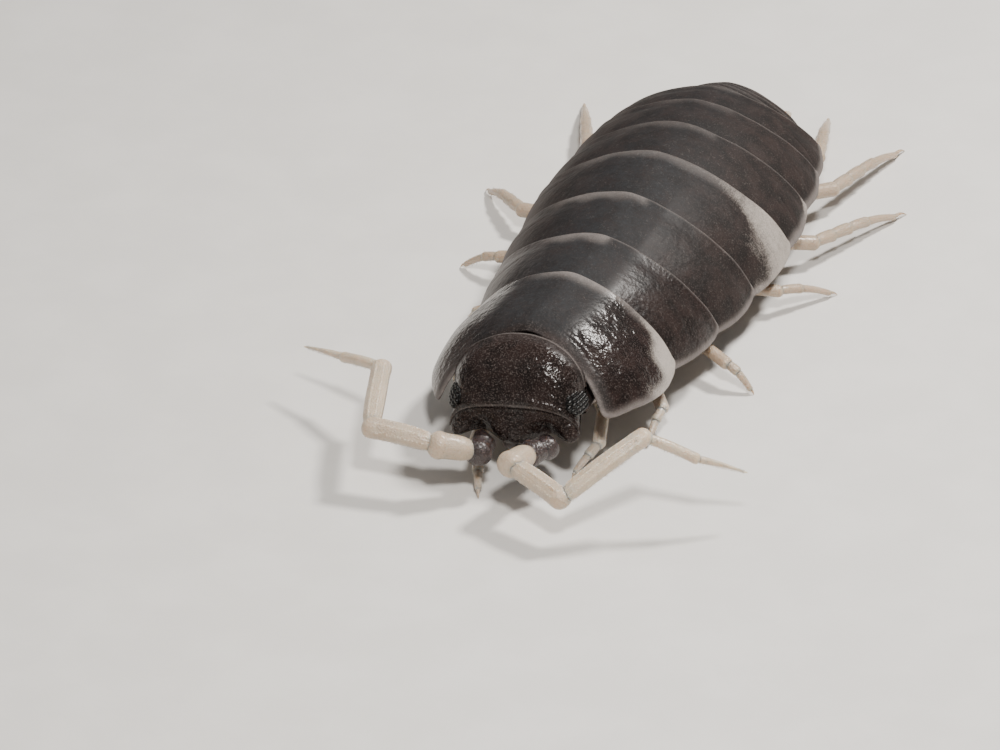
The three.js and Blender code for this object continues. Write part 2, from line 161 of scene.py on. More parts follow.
def rotation(axis, degrees):
    """A turn about x, y or z as a matrix for rows of points."""
    return np.array(Matrix.Rotation(np.radians(degrees), 3, axis)).T


WAVES = 7
WAVELENGTH_SPREAD = (0.7, 1.5)
SEEDS = {"marks": 20, "plates": 40, "tail": 60, "telson": 70, "head": 80, "ridges": 90}


def wobble(points, wavelength, seed):
    """Soft unevenness between about -1 and 1, from waves in random directions."""
    draw = np.random.default_rng(seed)
    directions = unit(draw.normal(size=(WAVES, 3)))
    frequencies = 2 * PI / (wavelength * draw.uniform(*WAVELENGTH_SPREAD, WAVES))
    phases = draw.uniform(0, 2 * PI, WAVES)
    waves = np.sin(points @ directions.T * frequencies + phases)
    return waves.sum(axis=-1) / np.sqrt(WAVES)


# Midline of the trunk, a curve that turns and rolls from plate to plate

SPINE_STEP = 0.05
SPINE_LEAD = 2.0  # the tables start this far before the neck and end as far behind the tail


def spine_tables():
    """The spine's turns and rolls at the neck and the plates' middles, and its places in plan."""
    count = len(PEREONITES)
    middles = (HIND_MARGINS[:count] + HIND_MARGINS[1 : count + 1]) / 2
    bends = np.insert(middles, 0, 0)
    turns, rolls = np.radians([(plate.turn, plate.roll) for plate in BODY[: count + 1]]).T
    stations = np.arange(-SPINE_LEAD, TAIL_END + SPINE_LEAD, SPINE_STEP)
    headings = np.interp(stations[:-1] + SPINE_STEP / 2, bends, turns)
    x, y = (running_total(wave(headings) * SPINE_STEP) for wave in (np.sin, np.cos))
    return bends, turns, rolls, stations, x - np.interp(0, stations, x), y - np.interp(0, stations, y)


BEND_STATIONS, BEND_TURNS, BEND_ROLLS, SPINE_STATIONS, SPINE_X, SPINE_Y = spine_tables()


def place(station, side, height):
    """Points from their station along the spine, distance to the left, and height over the edges."""
    station, side, height = np.broadcast_arrays(station, side, height)
    turn = np.interp(station, BEND_STATIONS, BEND_TURNS)
    roll = np.interp(station, BEND_STATIONS, BEND_ROLLS)
    across = side * np.cos(roll) + height * np.sin(roll)
    x = np.interp(station, SPINE_STATIONS, SPINE_X) + across * np.cos(turn)
    y = np.interp(station, SPINE_STATIONS, SPINE_Y) - across * np.sin(turn)
    z = EDGE_HEIGHT + height * np.cos(roll) - side * np.sin(roll)
    return np.stack([x, y, z], axis=-1)


HEAD_MATRIX = rotation("Z", -HEAD_TURN) @ rotation("Y", HEAD_ROLL)


def turn_head(points):
    """Points of the head as modelled straight ahead, turned and rolled about the neck."""
    return np.asarray(points, float) @ HEAD_MATRIX


# Meshes


class Shape:
    """Vertices, faces and named values per vertex, gathered for one mesh.

    A value that isn't given for a part of the mesh is 0 there.
    """

    def __init__(self):
        self.vertices = []
        self.faces = []
        self.values = {}
        self.count = 0

    def add(self, vertices, faces, **values):
        vertices = np.asarray(vertices, float).reshape(-1, 3)
        self.vertices.append(vertices)
        self.faces.extend((faces + self.count).tolist())
        for name, value in values.items():
            filled = np.broadcast_to(np.ravel(value), len(vertices))
            self.values.setdefault(name, []).append((self.count, filled))
        self.count += len(vertices)

    def make(self, name, material, slot, *nodes):
        """Makes the piece, which stands for the nodes that it replaces."""
        mesh = bpy.data.meshes.new(name)
        mesh.from_pydata(to_frame(np.concatenate(self.vertices)).tolist(), [], self.faces)
        for value_name, parts in self.values.items():
            table = np.zeros(self.count, np.float32)
            for start, value in parts:
                table[start : start + len(value)] = value
            attribute = mesh.attributes.new(value_name, "FLOAT", "POINT")
            attribute.data.foreach_set("value", table)
        mesh.polygons.foreach_set("use_smooth", np.ones(len(mesh.polygons), bool))
        mesh.materials.append(material)
        piece = bpy.data.objects.new(name, mesh)
        bpy.context.scene.collection.objects.link(piece)
        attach(piece, "root")
        if nodes:
            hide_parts(*nodes)


def grid_faces(rows, columns, wrap=False):
    """Faces of a grid of points, with its last column joined to its first where wrap is set."""
    width = columns if wrap else columns - 1
    row, column = np.meshgrid(np.arange(rows - 1), np.arange(width), indexing="ij")
    here = (row * columns + column).ravel()
    across = (row * columns + (column + 1) % columns).ravel()
    return np.stack([here, across, across + columns, here + columns], axis=1)


def grid_normals(points):
    normals = np.cross(np.gradient(points, axis=1), np.gradient(points, axis=0))
    return unit(normals + TINY)


NEAR_EDGE = np.array([0, 0.006, 0.014, 0.026, 0.045])


def spaced(length, step):
    """Distances from 0 to length, close together near both ends."""
    last = NEAR_EDGE[-1]
    count = max(2, round((length - 2 * last) / step))
    middle = np.linspace(last, length - last, count + 1)[1:-1]
    return np.concatenate([NEAR_EDGE, middle, (length - NEAR_EDGE)[::-1]])


def add_shell(shape, middle, thickness, **values):
    """A closed shell round a sheet of points, whose two faces share the sheet's outermost points."""
    rows, columns = middle.shape[:2]
    offset = grid_normals(middle) * np.broadcast_to(thickness / 2, (rows, columns))[..., None]
    inner = np.zeros((rows, columns), bool)
    inner[1:-1, 1:-1] = True
    under_index = np.arange(rows * columns).reshape(rows, columns)
    under_index[inner] = rows * columns + np.arange(inner.sum())
    faces = grid_faces(rows, columns)
    under_faces = under_index.ravel()[faces][:, ::-1]
    vertices = np.concatenate([(middle + offset).reshape(-1, 3), (middle - offset)[inner]])
    both = {}
    for name, value in values.items():
        value = np.broadcast_to(value, (rows, columns))
        both[name] = np.concatenate([value.ravel(), value[inner]])
    shape.add(vertices, np.concatenate([faces, under_faces]), **both)


LOOP_STEPS = 24


def smooth_loop(points, count):
    """A closed smooth curve through a loop of points, evenly divided."""
    points = np.asarray(points, float)
    steps = np.linspace(0, 1, LOOP_STEPS, endpoint=False)[:, None]
    dense = []
    for index, start in enumerate(points):
        before, end, after = (points[(index + offset) % len(points)] for offset in (-1, 1, 2))
        reach = np.linalg.norm(end - start)
        dense.append(
            start * (2 * steps**3 - 3 * steps**2 + 1)
            + reach * unit(end - before) * (steps**3 - 2 * steps**2 + steps)
            + end * (3 * steps**2 - 2 * steps**3)
            + reach * unit(after - start) * (steps**3 - steps**2)
        )
    dense = np.concatenate([*dense, points[:1]])
    length = running_total(np.linalg.norm(np.diff(dense, axis=0), axis=1))
    at = np.linspace(0, length[-1], count, endpoint=False)
    return np.stack([np.interp(at, length, places) for places in dense.T], axis=1)


def add_tube(shape, centres, radii, sides=24, flat=1.0, **values):
    """A tube along centres, made lower by flat. It closes where its radii fall to 0."""
    rows = len(centres)
    along = unit(np.gradient(centres, axis=0))[:, None]
    side = unit(np.cross(along, (0, 0, 1)))
    lift = flat * np.cross(side, along)
    angle = np.linspace(0, 2 * PI, sides, endpoint=False)[:, None]
    ring = side * np.cos(angle) + lift * np.sin(angle)
    points = centres[:, None] + ring * radii.reshape(rows, -1, 1)
    filled = {name: np.broadcast_to(value, (rows, sides)) for name, value in values.items()}
    shape.add(points, grid_faces(rows, sides, wrap=True), **filled)


def add_ellipsoid(shape, centre, radii, turn=np.eye(3), rings=24, sides=32, **values):
    """An ellipsoid, turned by a matrix for rows of points and then moved to its centre."""
    latitude = np.linspace(0, PI, rings)[:, None]
    longitude = np.linspace(0, 2 * PI, sides, endpoint=False)
    out = np.sin(latitude)
    sphere = [out * np.cos(longitude), out * np.sin(longitude), np.cos(latitude) + 0 * longitude]
    points = (np.stack(sphere, axis=-1) * radii) @ turn + centre
    shape.add(points, grid_faces(rings, sides, wrap=True)[:, ::-1], **values)


# Materials


class Nodes:
    """One material's node tree, with short calls for its nodes. Sizes are in millimetres."""

    def __init__(self, name, base):
        self.base = base
        self.material = bpy.data.materials.new(name)
        self.material.use_nodes = True
        self.tree = self.material.node_tree
        places = self.new("TexCoord", {}, "Object")
        self.millimetres = self.new("VectorMath", {0: places, "Scale": 1 / MM}, operation="SCALE")

    def put(self, value, socket):
        if isinstance(value, bpy.types.NodeSocket):
            self.tree.links.new(value, socket)
        else:
            socket.default_value = (*value, 1) if socket.type == "RGBA" else value

    def new(self, kind, inputs, output=0, **settings):
        """A node with its settings and inputs. Returns the output asked for."""
        node = self.tree.nodes.new("ShaderNode" + kind)
        for name, setting in settings.items():
            setattr(node, name, setting)
        for name, value in inputs.items():
            self.put(value, node.inputs[name])
        return node.outputs[output]

    def value(self, name):
        """A named value of the mesh."""
        return self.new("Attribute", {}, "Fac", attribute_name=name)

    def noise(self, size, detail=3, roughness=0.55):
        """Noise with grains of about that size."""
        inputs = {"Scale": 1 / size, "Detail": detail, "Roughness": roughness}
        return self.new("TexNoise", {"Vector": self.millimetres, **inputs}, "Fac")

    def cells(self, size, low, high, start=1.0):
        """Round spots of about that size, from start at their middles to 0 between them."""
        distance = self.new("TexVoronoi", {"Vector": self.millimetres, "Scale": 1 / size}, "Distance")
        return self.ramp(distance, low, high, start, 0)

    def math(self, operation, *values):
        return self.new("Math", dict(enumerate(values)), operation=operation)

    def times(self, first, second):
        return self.math("MULTIPLY", first, second)

    def plus(self, first, second):
        return self.math("ADD", first, second)

    def swing(self, value, reach):
        """A value from 0 to 1, as an unevenness round 0."""
        return self.math("MULTIPLY_ADD", value, reach, -reach / 2)

    def ramp(self, value, low, high, start=0.0, end=1.0):
        """The value between low and high, as a smooth step from start to end."""
        inputs = {"From Min": low, "From Max": high, "To Min": start, "To Max": end}
        return self.new("MapRange", {"Value": value, **inputs}, interpolation_type="SMOOTHSTEP")

    def mix(self, share, first, second):
        """The first colour, with a share of the second. The inputs are those for colours."""
        return self.new("Mix", {0: share, 6: first, 7: second}, 2, data_type="RGBA")

    def paint(self, share, colour):
        """Covers a share of the base colour."""
        self.base = self.mix(share, self.base, colour)

    def bumps(self, *layers):
        """A normal bent by layers of relief, each a height from 0 to 1 and its depth."""
        under = {}
        for height, depth in layers:
            under = {"Normal": self.new("Bump", {"Height": height, "Distance": depth * MM, **under})}
        return under["Normal"]

    def surface(self, **inputs):
        """Sets the material's surface, and returns the material."""
        shader = self.tree.nodes["Principled BSDF"]
        self.put(self.base, shader.inputs["Base Color"])
        for name, value in inputs.items():
            self.put(value, shader.inputs[name.replace("_", " ")])
        return self.material


DARK = (0.0075, 0.0048, 0.0042)
DARK_BROWN = (0.019, 0.0115, 0.01)
SPECK = (0.064, 0.051, 0.047)
BLOOM = (0.0185, 0.0188, 0.0205)
# Grey of the plates' sides; on the wide right side it is partly painted sheen
SKIRT_GREY_AND_SHEEN = (0.11, 0.092, 0.085)
MARGIN = (0.22, 0.195, 0.183)
PATCH = (0.37, 0.33, 0.295)
FINE = 0.026  # size of the finest specks


def cuticle_material():
    """Dark granular shell, waxy and duller on top, with grey skirts that on the right carry painted
    sheen, pale margins and white patches.
    """
    nodes = Nodes("cuticle", DARK)
    speckle = nodes.value("speckle")
    fine = nodes.noise(FINE, 1.5, 0.6)
    mottled = nodes.ramp(nodes.noise(0.06, 2), 0.35, 0.65, 0.65, 1)
    cloudy = nodes.times(nodes.ramp(nodes.noise(0.28, 3), 0.25, 0.65, 0.6, 1.1), mottled)
    ragged = nodes.plus(nodes.swing(nodes.noise(0.12, 3), 0.5), nodes.swing(fine, 0.7))
    rim = nodes.value("rim")
    nodes.paint(nodes.ramp(nodes.noise(0.34, 4), 0.36, 0.66), DARK_BROWN)
    nodes.paint(nodes.times(nodes.ramp(fine, 0.47, 0.72), speckle), SPECK)
    nodes.paint(nodes.times(nodes.value("bloom"), cloudy), BLOOM)
    # Grey sides, which on the shaded right flank are partly painted sheen
    nodes.paint(nodes.value("skirt"), SKIRT_GREY_AND_SHEEN)
    nodes.paint(nodes.math("MULTIPLY_ADD", rim, ragged, rim), MARGIN)
    nodes.paint(nodes.ramp(nodes.plus(nodes.value("patch"), ragged), 0.05, 1.05), PATCH)
    relief = nodes.bumps(
        (nodes.times(nodes.cells(0.042, 0.1, 0.6), speckle), 0.0022),
        (nodes.times(nodes.noise(0.03, 2, 0.6), speckle), 0.0025),
        (nodes.times(nodes.noise(0.11, 1.5), speckle), 0.034),
    )
    return nodes.surface(
        Roughness=nodes.ramp(nodes.value("wax"), 0, 0.6, 0.17, 0.72),
        Normal=relief,
        Subsurface_Weight=0.12,
        Subsurface_Radius=(1, 0.8, 0.7),
        Subsurface_Scale=0.08 * MM,
        Specular_IOR_Level=0.25,
    )


LIMB_WHITE = (0.6, 0.49, 0.375)
LIMB_WARM = (0.48, 0.355, 0.24)
LIMB_SHADE = (0.34, 0.25, 0.18)
LIMB_DARK = (0.04, 0.026, 0.025)
LIMB_GREY = (0.43, 0.37, 0.31)
AMBER = (0.16, 0.075, 0.035)
FROST_AND_GLINT = (0.86, 0.78, 0.67)


def limb_material():
    """Waxy white limbs with fine grains, frost on the feelers' ridges that is partly painted glints, tan
    that on the hind legs is partly painted warm bounce light, and dark first articles where the mesh
    says so.
    """
    nodes = Nodes("limb", LIMB_WHITE)
    clouds = nodes.noise(0.3, 3)
    fine = nodes.noise(FINE, 2, 0.6)
    frost = nodes.math("MULTIPLY_ADD", nodes.value("frost"), 0.85, 0.15)
    spots = nodes.cells(0.22, 0.05, 0.09, 0.8)
    ragged = nodes.swing(nodes.noise(0.08, 3), 0.6)
    dark = nodes.mix(nodes.ramp(fine, 0.5, 0.72, 0, 0.7), LIMB_DARK, SPECK)
    nodes.paint(nodes.ramp(clouds, 0.35, 0.7, 0, 0.4), LIMB_WARM)
    nodes.paint(nodes.ramp(fine, 0.4, 0.3, 0, 0.2), LIMB_SHADE)
    nodes.paint(nodes.value("grey"), LIMB_GREY)
    # Tan: a warmer tone of the feelers' first articles, and on the hind legs partly painted warm bounce
    # light
    nodes.paint(nodes.value("tan"), LIMB_SHADE)
    # Frost: fine white grains everywhere, and on the feelers' ridge tops whiter lines that are partly
    # painted glints
    nodes.paint(nodes.times(nodes.ramp(fine, 0.5, 0.66), frost), FROST_AND_GLINT)
    nodes.paint(nodes.times(spots, nodes.ramp(clouds, 0.5, 0.62)), DARK_BROWN)
    nodes.paint(nodes.ramp(nodes.plus(nodes.value("dark"), ragged), 0.3, 0.7), dark)
    nodes.paint(nodes.value("amber"), AMBER)
    return nodes.surface(
        Roughness=nodes.ramp(fine, 0.3, 0.7, 0.38, 0.24),
        Normal=nodes.bumps((nodes.cells(0.038, 0.1, 0.6), 0.006), (fine, 0.007)),
        Subsurface_Weight=0.85,
        Subsurface_Radius=(1, 0.75, 0.55),
        Subsurface_Scale=0.15 * MM,
        Coat_Weight=0.2,
        Coat_Roughness=0.2,
    )


BELLY_PALE = (0.42, 0.37, 0.33)
BELLY_GREY = (0.16, 0.13, 0.13)


def belly_material():
    nodes = Nodes("belly", BELLY_PALE)
    nodes.paint(nodes.ramp(nodes.noise(0.4, 4), 0.35, 0.65), BELLY_GREY)
    # Painted shade: darkens the belly's ends and the jaws
    nodes.paint(nodes.value("shade"), DARK)
    return nodes.surface(
        Roughness=0.45,
        Normal=nodes.bumps((nodes.noise(0.05, 3), 0.006)),
        Subsurface_Weight=0.4,
        Subsurface_Radius=(1, 0.7, 0.55),
        Subsurface_Scale=0.12 * MM,
    )


EYE_DARK = (0.002, 0.0018, 0.002)
EYE_BROWN = (0.006, 0.0045, 0.0045)


def eye_material():
    nodes = Nodes("eye", EYE_DARK)
    nodes.paint(nodes.ramp(nodes.noise(0.06, 2), 0.4, 0.7), EYE_BROWN)
    return nodes.surface(Roughness=0.22, Specular_IOR_Level=0.4)


FLOOR_GREY = (0.74, 0.72, 0.69)
FLOOR_PALE = (0.78, 0.76, 0.73)


def floor_material():
    nodes = Nodes("floor", FLOOR_GREY)
    nodes.paint(nodes.ramp(nodes.noise(1.5, 4), 0.35, 0.7), FLOOR_PALE)
    return nodes.surface(Roughness=0.8, Specular_IOR_Level=0.2)


CUTICLE = cuticle_material()
LIMB = limb_material()
BELLY = belly_material()
EYE_BLACK = eye_material()

# Back plates

ARCH_POINTS = 721
COLUMN_STEP = 0.032
ROW_STEP = 0.02
ARC_SHARE = 1.25  # half an arch's length, as a rough share of its half width or height
EDGE_POWER = 4  # how late across the back a raised side edge starts to rise


def arch_row(plate, trim, shares):
    """Sides, rises and backward sweeps of one row across the back.

    shares run from -1 to 1 along its arc, up to the trim at each end.
    """
    angle = np.linspace(-PI / 2, PI / 2, ARCH_POINTS)
    sideways = np.abs(np.sin(angle))
    share = sideways ** (2 / ARCH_EXPONENT)
    side = np.sign(angle) * share * plate.half_width
    rise = plate.height * np.cos(angle).clip(0) ** (2 / ARCH_EXPONENT) + plate.edge * share**EDGE_POWER
    back = plate.sweep * sideways**plate.sweep_power
    arc = running_total(np.hypot(np.diff(side), np.diff(rise)))
    arc -= arc[-1] / 2
    at = shares * (arc[-1] - trim)
    return (np.interp(at, arc, table) for table in (side + plate.shift, rise, back))


def corner_trim(distance, radius):
    """How far a rounded corner cuts in, by the distance from the margin."""
    return radius * (1 - rounded_edge(distance, radius))


class Sheet(NamedTuple):
    """A plate's sheet of points, and each point's distance in millimetres from its margins."""

    points: np.ndarray
    from_hind: np.ndarray
    from_front: np.ndarray
    from_side: np.ndarray
    across: np.ndarray  # from -1 at the right edge to 1 at the left


class Span(NamedTuple):
    """A plate's stretch of the body, between the stations of its front and hind margins."""

    front: Plate  # measures of its front margin
    hind: Plate
    start: float
    end: float
    lip: float = LIP

    def row(self, station, trim, shares, inset=0.0):
        """Points of one row across the plate. inset is how far inside the plate it lies."""
        front, hind = self.front, self.hind
        share = (station - self.start) / (self.end - self.start)
        inside = np.clip(share, 0, 1)
        between = Plate(*(lerp(first, last, inside) for first, last in zip(front, hind)))
        half_width = between.half_width + hind.bow * np.sin(PI * inside) - inset
        height = lerp(front.height + front.drop, hind.height + hind.drop, share) - inset
        height -= self.lip * (1 - share) ** 2
        row = between._replace(half_width=half_width, height=height)
        side, rise, back = arch_row(row, trim, shares)
        return place(station + back, side, rise - between.drop)


def plate_sheet(span, tuck, front_corner=None, hind_corner=CORNER):
    """The outer sheet of a plate, which is tucked forward under the one before."""
    from_hind = spaced(span.end - span.start + tuck, ROW_STEP)[::-1]
    half_arc = ARC_SHARE * max(span.hind.half_width, span.hind.height)
    shares = spaced(2 * half_arc, COLUMN_STEP) / half_arc - 1
    rows = []
    for distance in from_hind:
        station = span.end - distance
        trim = corner_trim(distance, hind_corner)
        if front_corner:
            trim += corner_trim(station - span.start + tuck, front_corner)
        rows.append(span.row(station, trim, shares))
    points = np.stack(rows)
    arc = running_total(np.linalg.norm(np.diff(points, axis=1), axis=2))
    from_side = np.minimum(arc, arc[:, -1:] - arc)
    from_hind, across = np.broadcast_arrays(from_hind[:, None], shares)
    return Sheet(points, from_hind, from_hind[0] - from_hind, from_side, across)


SKIN_THICKNESS = 0.02
SKIN_COLUMNS = 121
JOINT_SKIN = {"from_hind": 0.16, "rows": 9, "depth": 0.5}


def add_skin(shape, points):
    """Dull dark skin, a thin closed shell."""
    add_shell(shape, points, SKIN_THICKNESS, wax=1)


def add_joint_skin(shape, span):
    """A skin inside a plate, just before its hind margin, that closes the joint."""
    shares = np.linspace(-1, 1, SKIN_COLUMNS)
    station = span.end - JOINT_SKIN["from_hind"]
    insets = np.linspace(SHELL / 2, JOINT_SKIN["depth"], JOINT_SKIN["rows"])
    add_skin(shape, np.stack([span.row(station, 0, shares, inset) for inset in insets]))


EDGE_ROUNDING = 0.6 * SHELL


def add_plate(shape, sheet, relief, thickness=SHELL, **values):
    """A plate's closed shell below its outer sheet, which the relief raises or lowers.

    Its thickness falls to 0 at the margins, as a rounded edge does.
    """
    middle = sheet.points + grid_normals(sheet.points) * (relief - thickness / 2)[..., None]
    nearest = np.minimum(np.minimum(sheet.from_hind, sheet.from_front), sheet.from_side)
    add_shell(shape, middle, thickness * rounded_edge(nearest, EDGE_ROUNDING), **values)


class Marks(NamedTuple):
    """Pale marks of a back plate. Places across the back run from -1 at the right to 1."""

    start: float  # where the bright stretch of the hind margin starts
    end: float
    strength: float
    width: float  # of the bright stretch
    patch: float = 0.0  # reach of the white patch forwards from the left hind corner
    patch_start: float = 0.5  # where across the back the patch starts
    left_edge: float = 0.5  # strength of the pale left edge
    edge_width: float = 0.11  # of the pale left edge
    white: float = 1.0  # strength of the patch


MARKS = [
    Marks(-0.1, 1.2, 0.72, 0.16, 0.78, patch_start=0.38, edge_width=0.09),
    Marks(-0.3, 0.05, 0.62, 0.2),
    Marks(-0.42, 0.1, 0.52, 0.2, left_edge=0.6),
    Marks(-0.45, 1.2, 0.34, 0.2, 1.2, patch_start=0.2, left_edge=0.8, edge_width=0.14, white=0.8),
    Marks(-0.25, 0.25, 0.22, 0.2, 0.35, patch_start=0.85, left_edge=0.7, edge_width=0.18, white=0.6),
    Marks(-0.2, 0.25, 0.16, 0.16, left_edge=0.6, edge_width=0.18),
    Marks(-0.2, 0.2, 0.16, 0.14, edge_width=0.16),
]
BLOOM_STRENGTHS = (0.95, 0.95, 0.9, 0.9, 0.6, 0.5, 0.5)
WAX = (0.1, 0.26, 0.4, 0.45, 0.5, 0.5, 0.5)  # least dullness of each plate
SPECKLE = (0.62, 0.46, 0.38, 0.35, 0.3, 0.3, 0.3)  # strength of each plate's specks and granules
SPECKLE_LOSS = 0.3  # share of the specks that full bloom covers
RIGHT_SKIRT_AND_SHEEN = (0.45, 0.7, 0.95, 1, 1, 0.8, 0.7)  # strength of each plate's grey right side, partly painted sheen that lightens the shaded right flank
LEFT_SKIRT = 0.8
# The right width is wide, as it carries painted sheen
SKIRT_AND_SHEEN_WIDTHS = {"left": 0.2, "right": 1.4}
THIN_LINE = {"width": 0.055, "strength": 0.3}  # along the rest of the hind margins
FRONT_LINE = {"reach": (0.5, 0.7), "strength": 0.5}  # at the sides of the first plate's front margin
RIGHT_EDGE = {"width": 0.16, "strength": 0.45}
LEFT_TAPER = {"reach": (0.3, 0.7), "share": 0.35}  # how the bright stretch weakens to the left
# Shares of a mark's width over which it fades
FADES = {"hind": (0.1, 1.6), "thin": (0.4, 1), "edge": (0.3, 1.4), "patch": (0.4, 1.4)}
HIND_POWER = 1.3
PATCH_POWER = 1.4
WIDTH_UNEVENNESS = 0.16
BACK_MIDDLE = -0.04  # where across the back the bloom and the wax are strongest
BLOOM_RANGE = (0.1, 0.62)  # distance from there over which the bluish bloom fades
WAX_RANGE = (0.0, 0.5)  # and over which the wax gives way to gloss
FRONT_SHADE_STRIP = (0.08, 0.24)  # where the first plate's dull front strip ends; the strip is painted shade, dark because its bloom is left out
FRONT_WAX = 0.5  # dullness of that strip


def plate_marks(index, sheet):
    """Pale rim, white patch, grey skirt with painted sheen on the right, bloom (left out at the first
    plate's front as painted shade), wax and specks, each from 0 to 1.
    """
    marks = MARKS[index]
    across = sheet.across
    left = smooth_step(across, -0.05, 0.05)
    uneven = 1 + WIDTH_UNEVENNESS * wobble(sheet.points, 0.5, SEEDS["marks"] + index)
    bright = window(across, marks.start - 0.3, marks.start + 0.1, marks.end - 0.03, marks.end + 0.04)
    hind = fade(sheet.from_hind / (marks.width * uneven), *FADES["hind"]) ** HIND_POWER
    hind *= marks.strength * bright
    hind *= 1 - LEFT_TAPER["share"] * smooth_step(across, *LEFT_TAPER["reach"])
    thin = THIN_LINE["strength"] * fade(sheet.from_hind / THIN_LINE["width"], *FADES["thin"])
    edge_width = lerp(RIGHT_EDGE["width"], marks.edge_width, left) * uneven
    edge = fade(sheet.from_side / edge_width, *FADES["edge"])
    edge *= lerp(RIGHT_EDGE["strength"], marks.left_edge, left)
    skirt = fade(sheet.from_side / lerp(SKIRT_AND_SHEEN_WIDTHS["right"], SKIRT_AND_SHEEN_WIDTHS["left"], left), 0, 1)
    share = np.clip((across - marks.patch_start) / (1 - marks.patch_start), 0, 1)
    reach = marks.patch * share**PATCH_POWER + TINY
    patch = (share > 0) * fade(sheet.from_hind / reach / uneven, *FADES["patch"])
    patch *= marks.white * smooth_step(share, 0, 0.75)
    aside = np.abs(across - BACK_MIDDLE)
    bloom = BLOOM_STRENGTHS[index] * fade(aside, *BLOOM_RANGE)
    wax = np.maximum(fade(aside, *WAX_RANGE), WAX[index])
    if index == 0:
        front = smooth_step(np.abs(across), *FRONT_LINE["reach"])
        front *= FRONT_LINE["strength"] * bell(sheet.from_front, 0, THIN_LINE["width"])
        thin = np.maximum(thin, front)
        # Painted shade: the first plate's bloom fades out towards its front margin, so the strip there
        # stays dark
        behind = smooth_step(sheet.from_front, *FRONT_SHADE_STRIP)
        bloom *= behind
        wax = lerp(FRONT_WAX, wax, behind)
    return {
        "rim": np.maximum(np.maximum(hind, thin), edge),
        "patch": patch,
        "skirt": skirt * lerp(RIGHT_SKIRT_AND_SHEEN[index], LEFT_SKIRT, left),
        "bloom": bloom,
        "wax": wax,
        "speckle": SPECKLE[index] * (1 - SPECKLE_LOSS * bloom),
    }


HIND_RIDGE = Ridge(0.008, 0.02, 0.04)
HIND_GROOVE = Ridge(-0.012, 0.24, 0.12)
SIDE_RIDGE = Ridge(0.014, 0.03, 0.06)
UNEVENNESS = 0.006
SWELL = Ridge(0.015, 0.6, 0.4)  # from a plate's front margin
CREASE = Ridge(-0.007, 0, 0.035)
CREASE_LINE = {"across": 0.5, "from_hind": 0.42, "slope": 0.85}
CREASE_REACH = (0.42, 0.6, 0.82, 0.95)  # where across the back the crease comes and goes

# Relief of the first plate alone, from its front margin
FIRST_SWELL = Ridge(0.06, 0.5, 0.38)
FRONT_RIDGE = Ridge(0.008, 0.02, 0.03)
FRONT_LINES = [Ridge(0.008, 0.27, 0.016), Ridge(0.008, 0.2, 0.016)]
FRONT_LINE_REACHES = [(0.2, 0.36, 0.55, 0.75), (0.2, 0.36, 0.65, 0.75)]
FRONT_LINE_BEND = 0.1  # how far the lines come forward at the left


def plate_relief(index, sheet):
    """How far a plate's surface rises or falls in millimetres."""
    first = index == 0
    uneven = wobble(sheet.points, 0.7, SEEDS["plates"] + index)
    relief = HIND_RIDGE.at(sheet.from_hind) + HIND_GROOVE.at(sheet.from_hind)
    relief += SIDE_RIDGE.at(sheet.from_side) + UNEVENNESS * uneven
    relief += (FIRST_SWELL if first else SWELL).at(sheet.from_front)
    sideways = np.abs(sheet.across)
    line = CREASE_LINE["from_hind"] + CREASE_LINE["slope"] * (sideways - CREASE_LINE["across"])
    relief += window(sideways, *CREASE_REACH) * CREASE.at(sheet.from_hind - line)
    if first:
        relief += FRONT_RIDGE.at(sheet.from_front)
        bent = sheet.from_front + FRONT_LINE_BEND * smooth_step(sheet.across, 0.3, 0.8)
        for ridge, reach in zip(FRONT_LINES, FRONT_LINE_REACHES):
            relief += window(sideways, *reach) * ridge.at(bent)
    return relief


def add_pereonites():
    front = NECK
    for index, plate in enumerate(PEREONITES):
        span = Span(front, plate, *HIND_MARGINS[index : index + 2])
        sheet = plate_sheet(span, TUCK) if index else plate_sheet(span, 0, FIRST_CORNER)
        shape = Shape()
        add_plate(shape, sheet, plate_relief(index, sheet), **plate_marks(index, sheet))
        add_joint_skin(shape, span)
        shape.make(f"tergite_{index + 1}", CUTICLE, "cuticle", f"pereonite_{index + 1}")
        front = plate._replace(half_width=plate.half_width - NOTCH)


add_pereonites()

# Tail plates, telson and uropods

TAIL_LOOK = {"wax": 0.5, "speckle": 0.3}
TAIL_RIM = 0.16
PLEON_STEP = {"side": 0.03, "height": 0.05}  # from each hind margin down to the next plate's front
PLEON_TUCK = 0.16
PLEON_LIP = 0.02
PLEON_SHELL = 0.04
PLEON_CORNERS = (0.12, 0.12, 0.05, 0.05, 0.05)
PLEON_RIDGE = Ridge(0.01, 0.03, 0.05)
PLEON_BLOOM = 0.4
PLEON_UNEVENNESS = 0.003


def add_pleonites():
    shape = Shape()
    margins = HIND_MARGINS[len(PEREONITES) :]
    before = PLEONITES[0]
    for index, plate in enumerate(PLEONITES):
        half_width = before.half_width - PLEON_STEP["side"]
        front = before._replace(half_width=half_width, height=before.height - PLEON_STEP["height"])
        span = Span(front, plate, *margins[index : index + 2], PLEON_LIP)
        sheet = plate_sheet(span, PLEON_TUCK, hind_corner=PLEON_CORNERS[index])
        uneven = PLEON_UNEVENNESS * wobble(sheet.points, 0.5, SEEDS["tail"] + index)
        relief = PLEON_RIDGE.at(sheet.from_hind) + uneven
        rim = TAIL_RIM * fade(np.minimum(sheet.from_hind, sheet.from_side), 0.03, 0.09)
        bloom = PLEON_BLOOM * fade(np.abs(sheet.across), *BLOOM_RANGE)
        add_plate(shape, sheet, relief, PLEON_SHELL, rim=rim, bloom=bloom, **TAIL_LOOK)
        before = plate
    add_joint_skin(shape, span)
    shape.make("tail_plates", CUTICLE, "cuticle", "pleon")


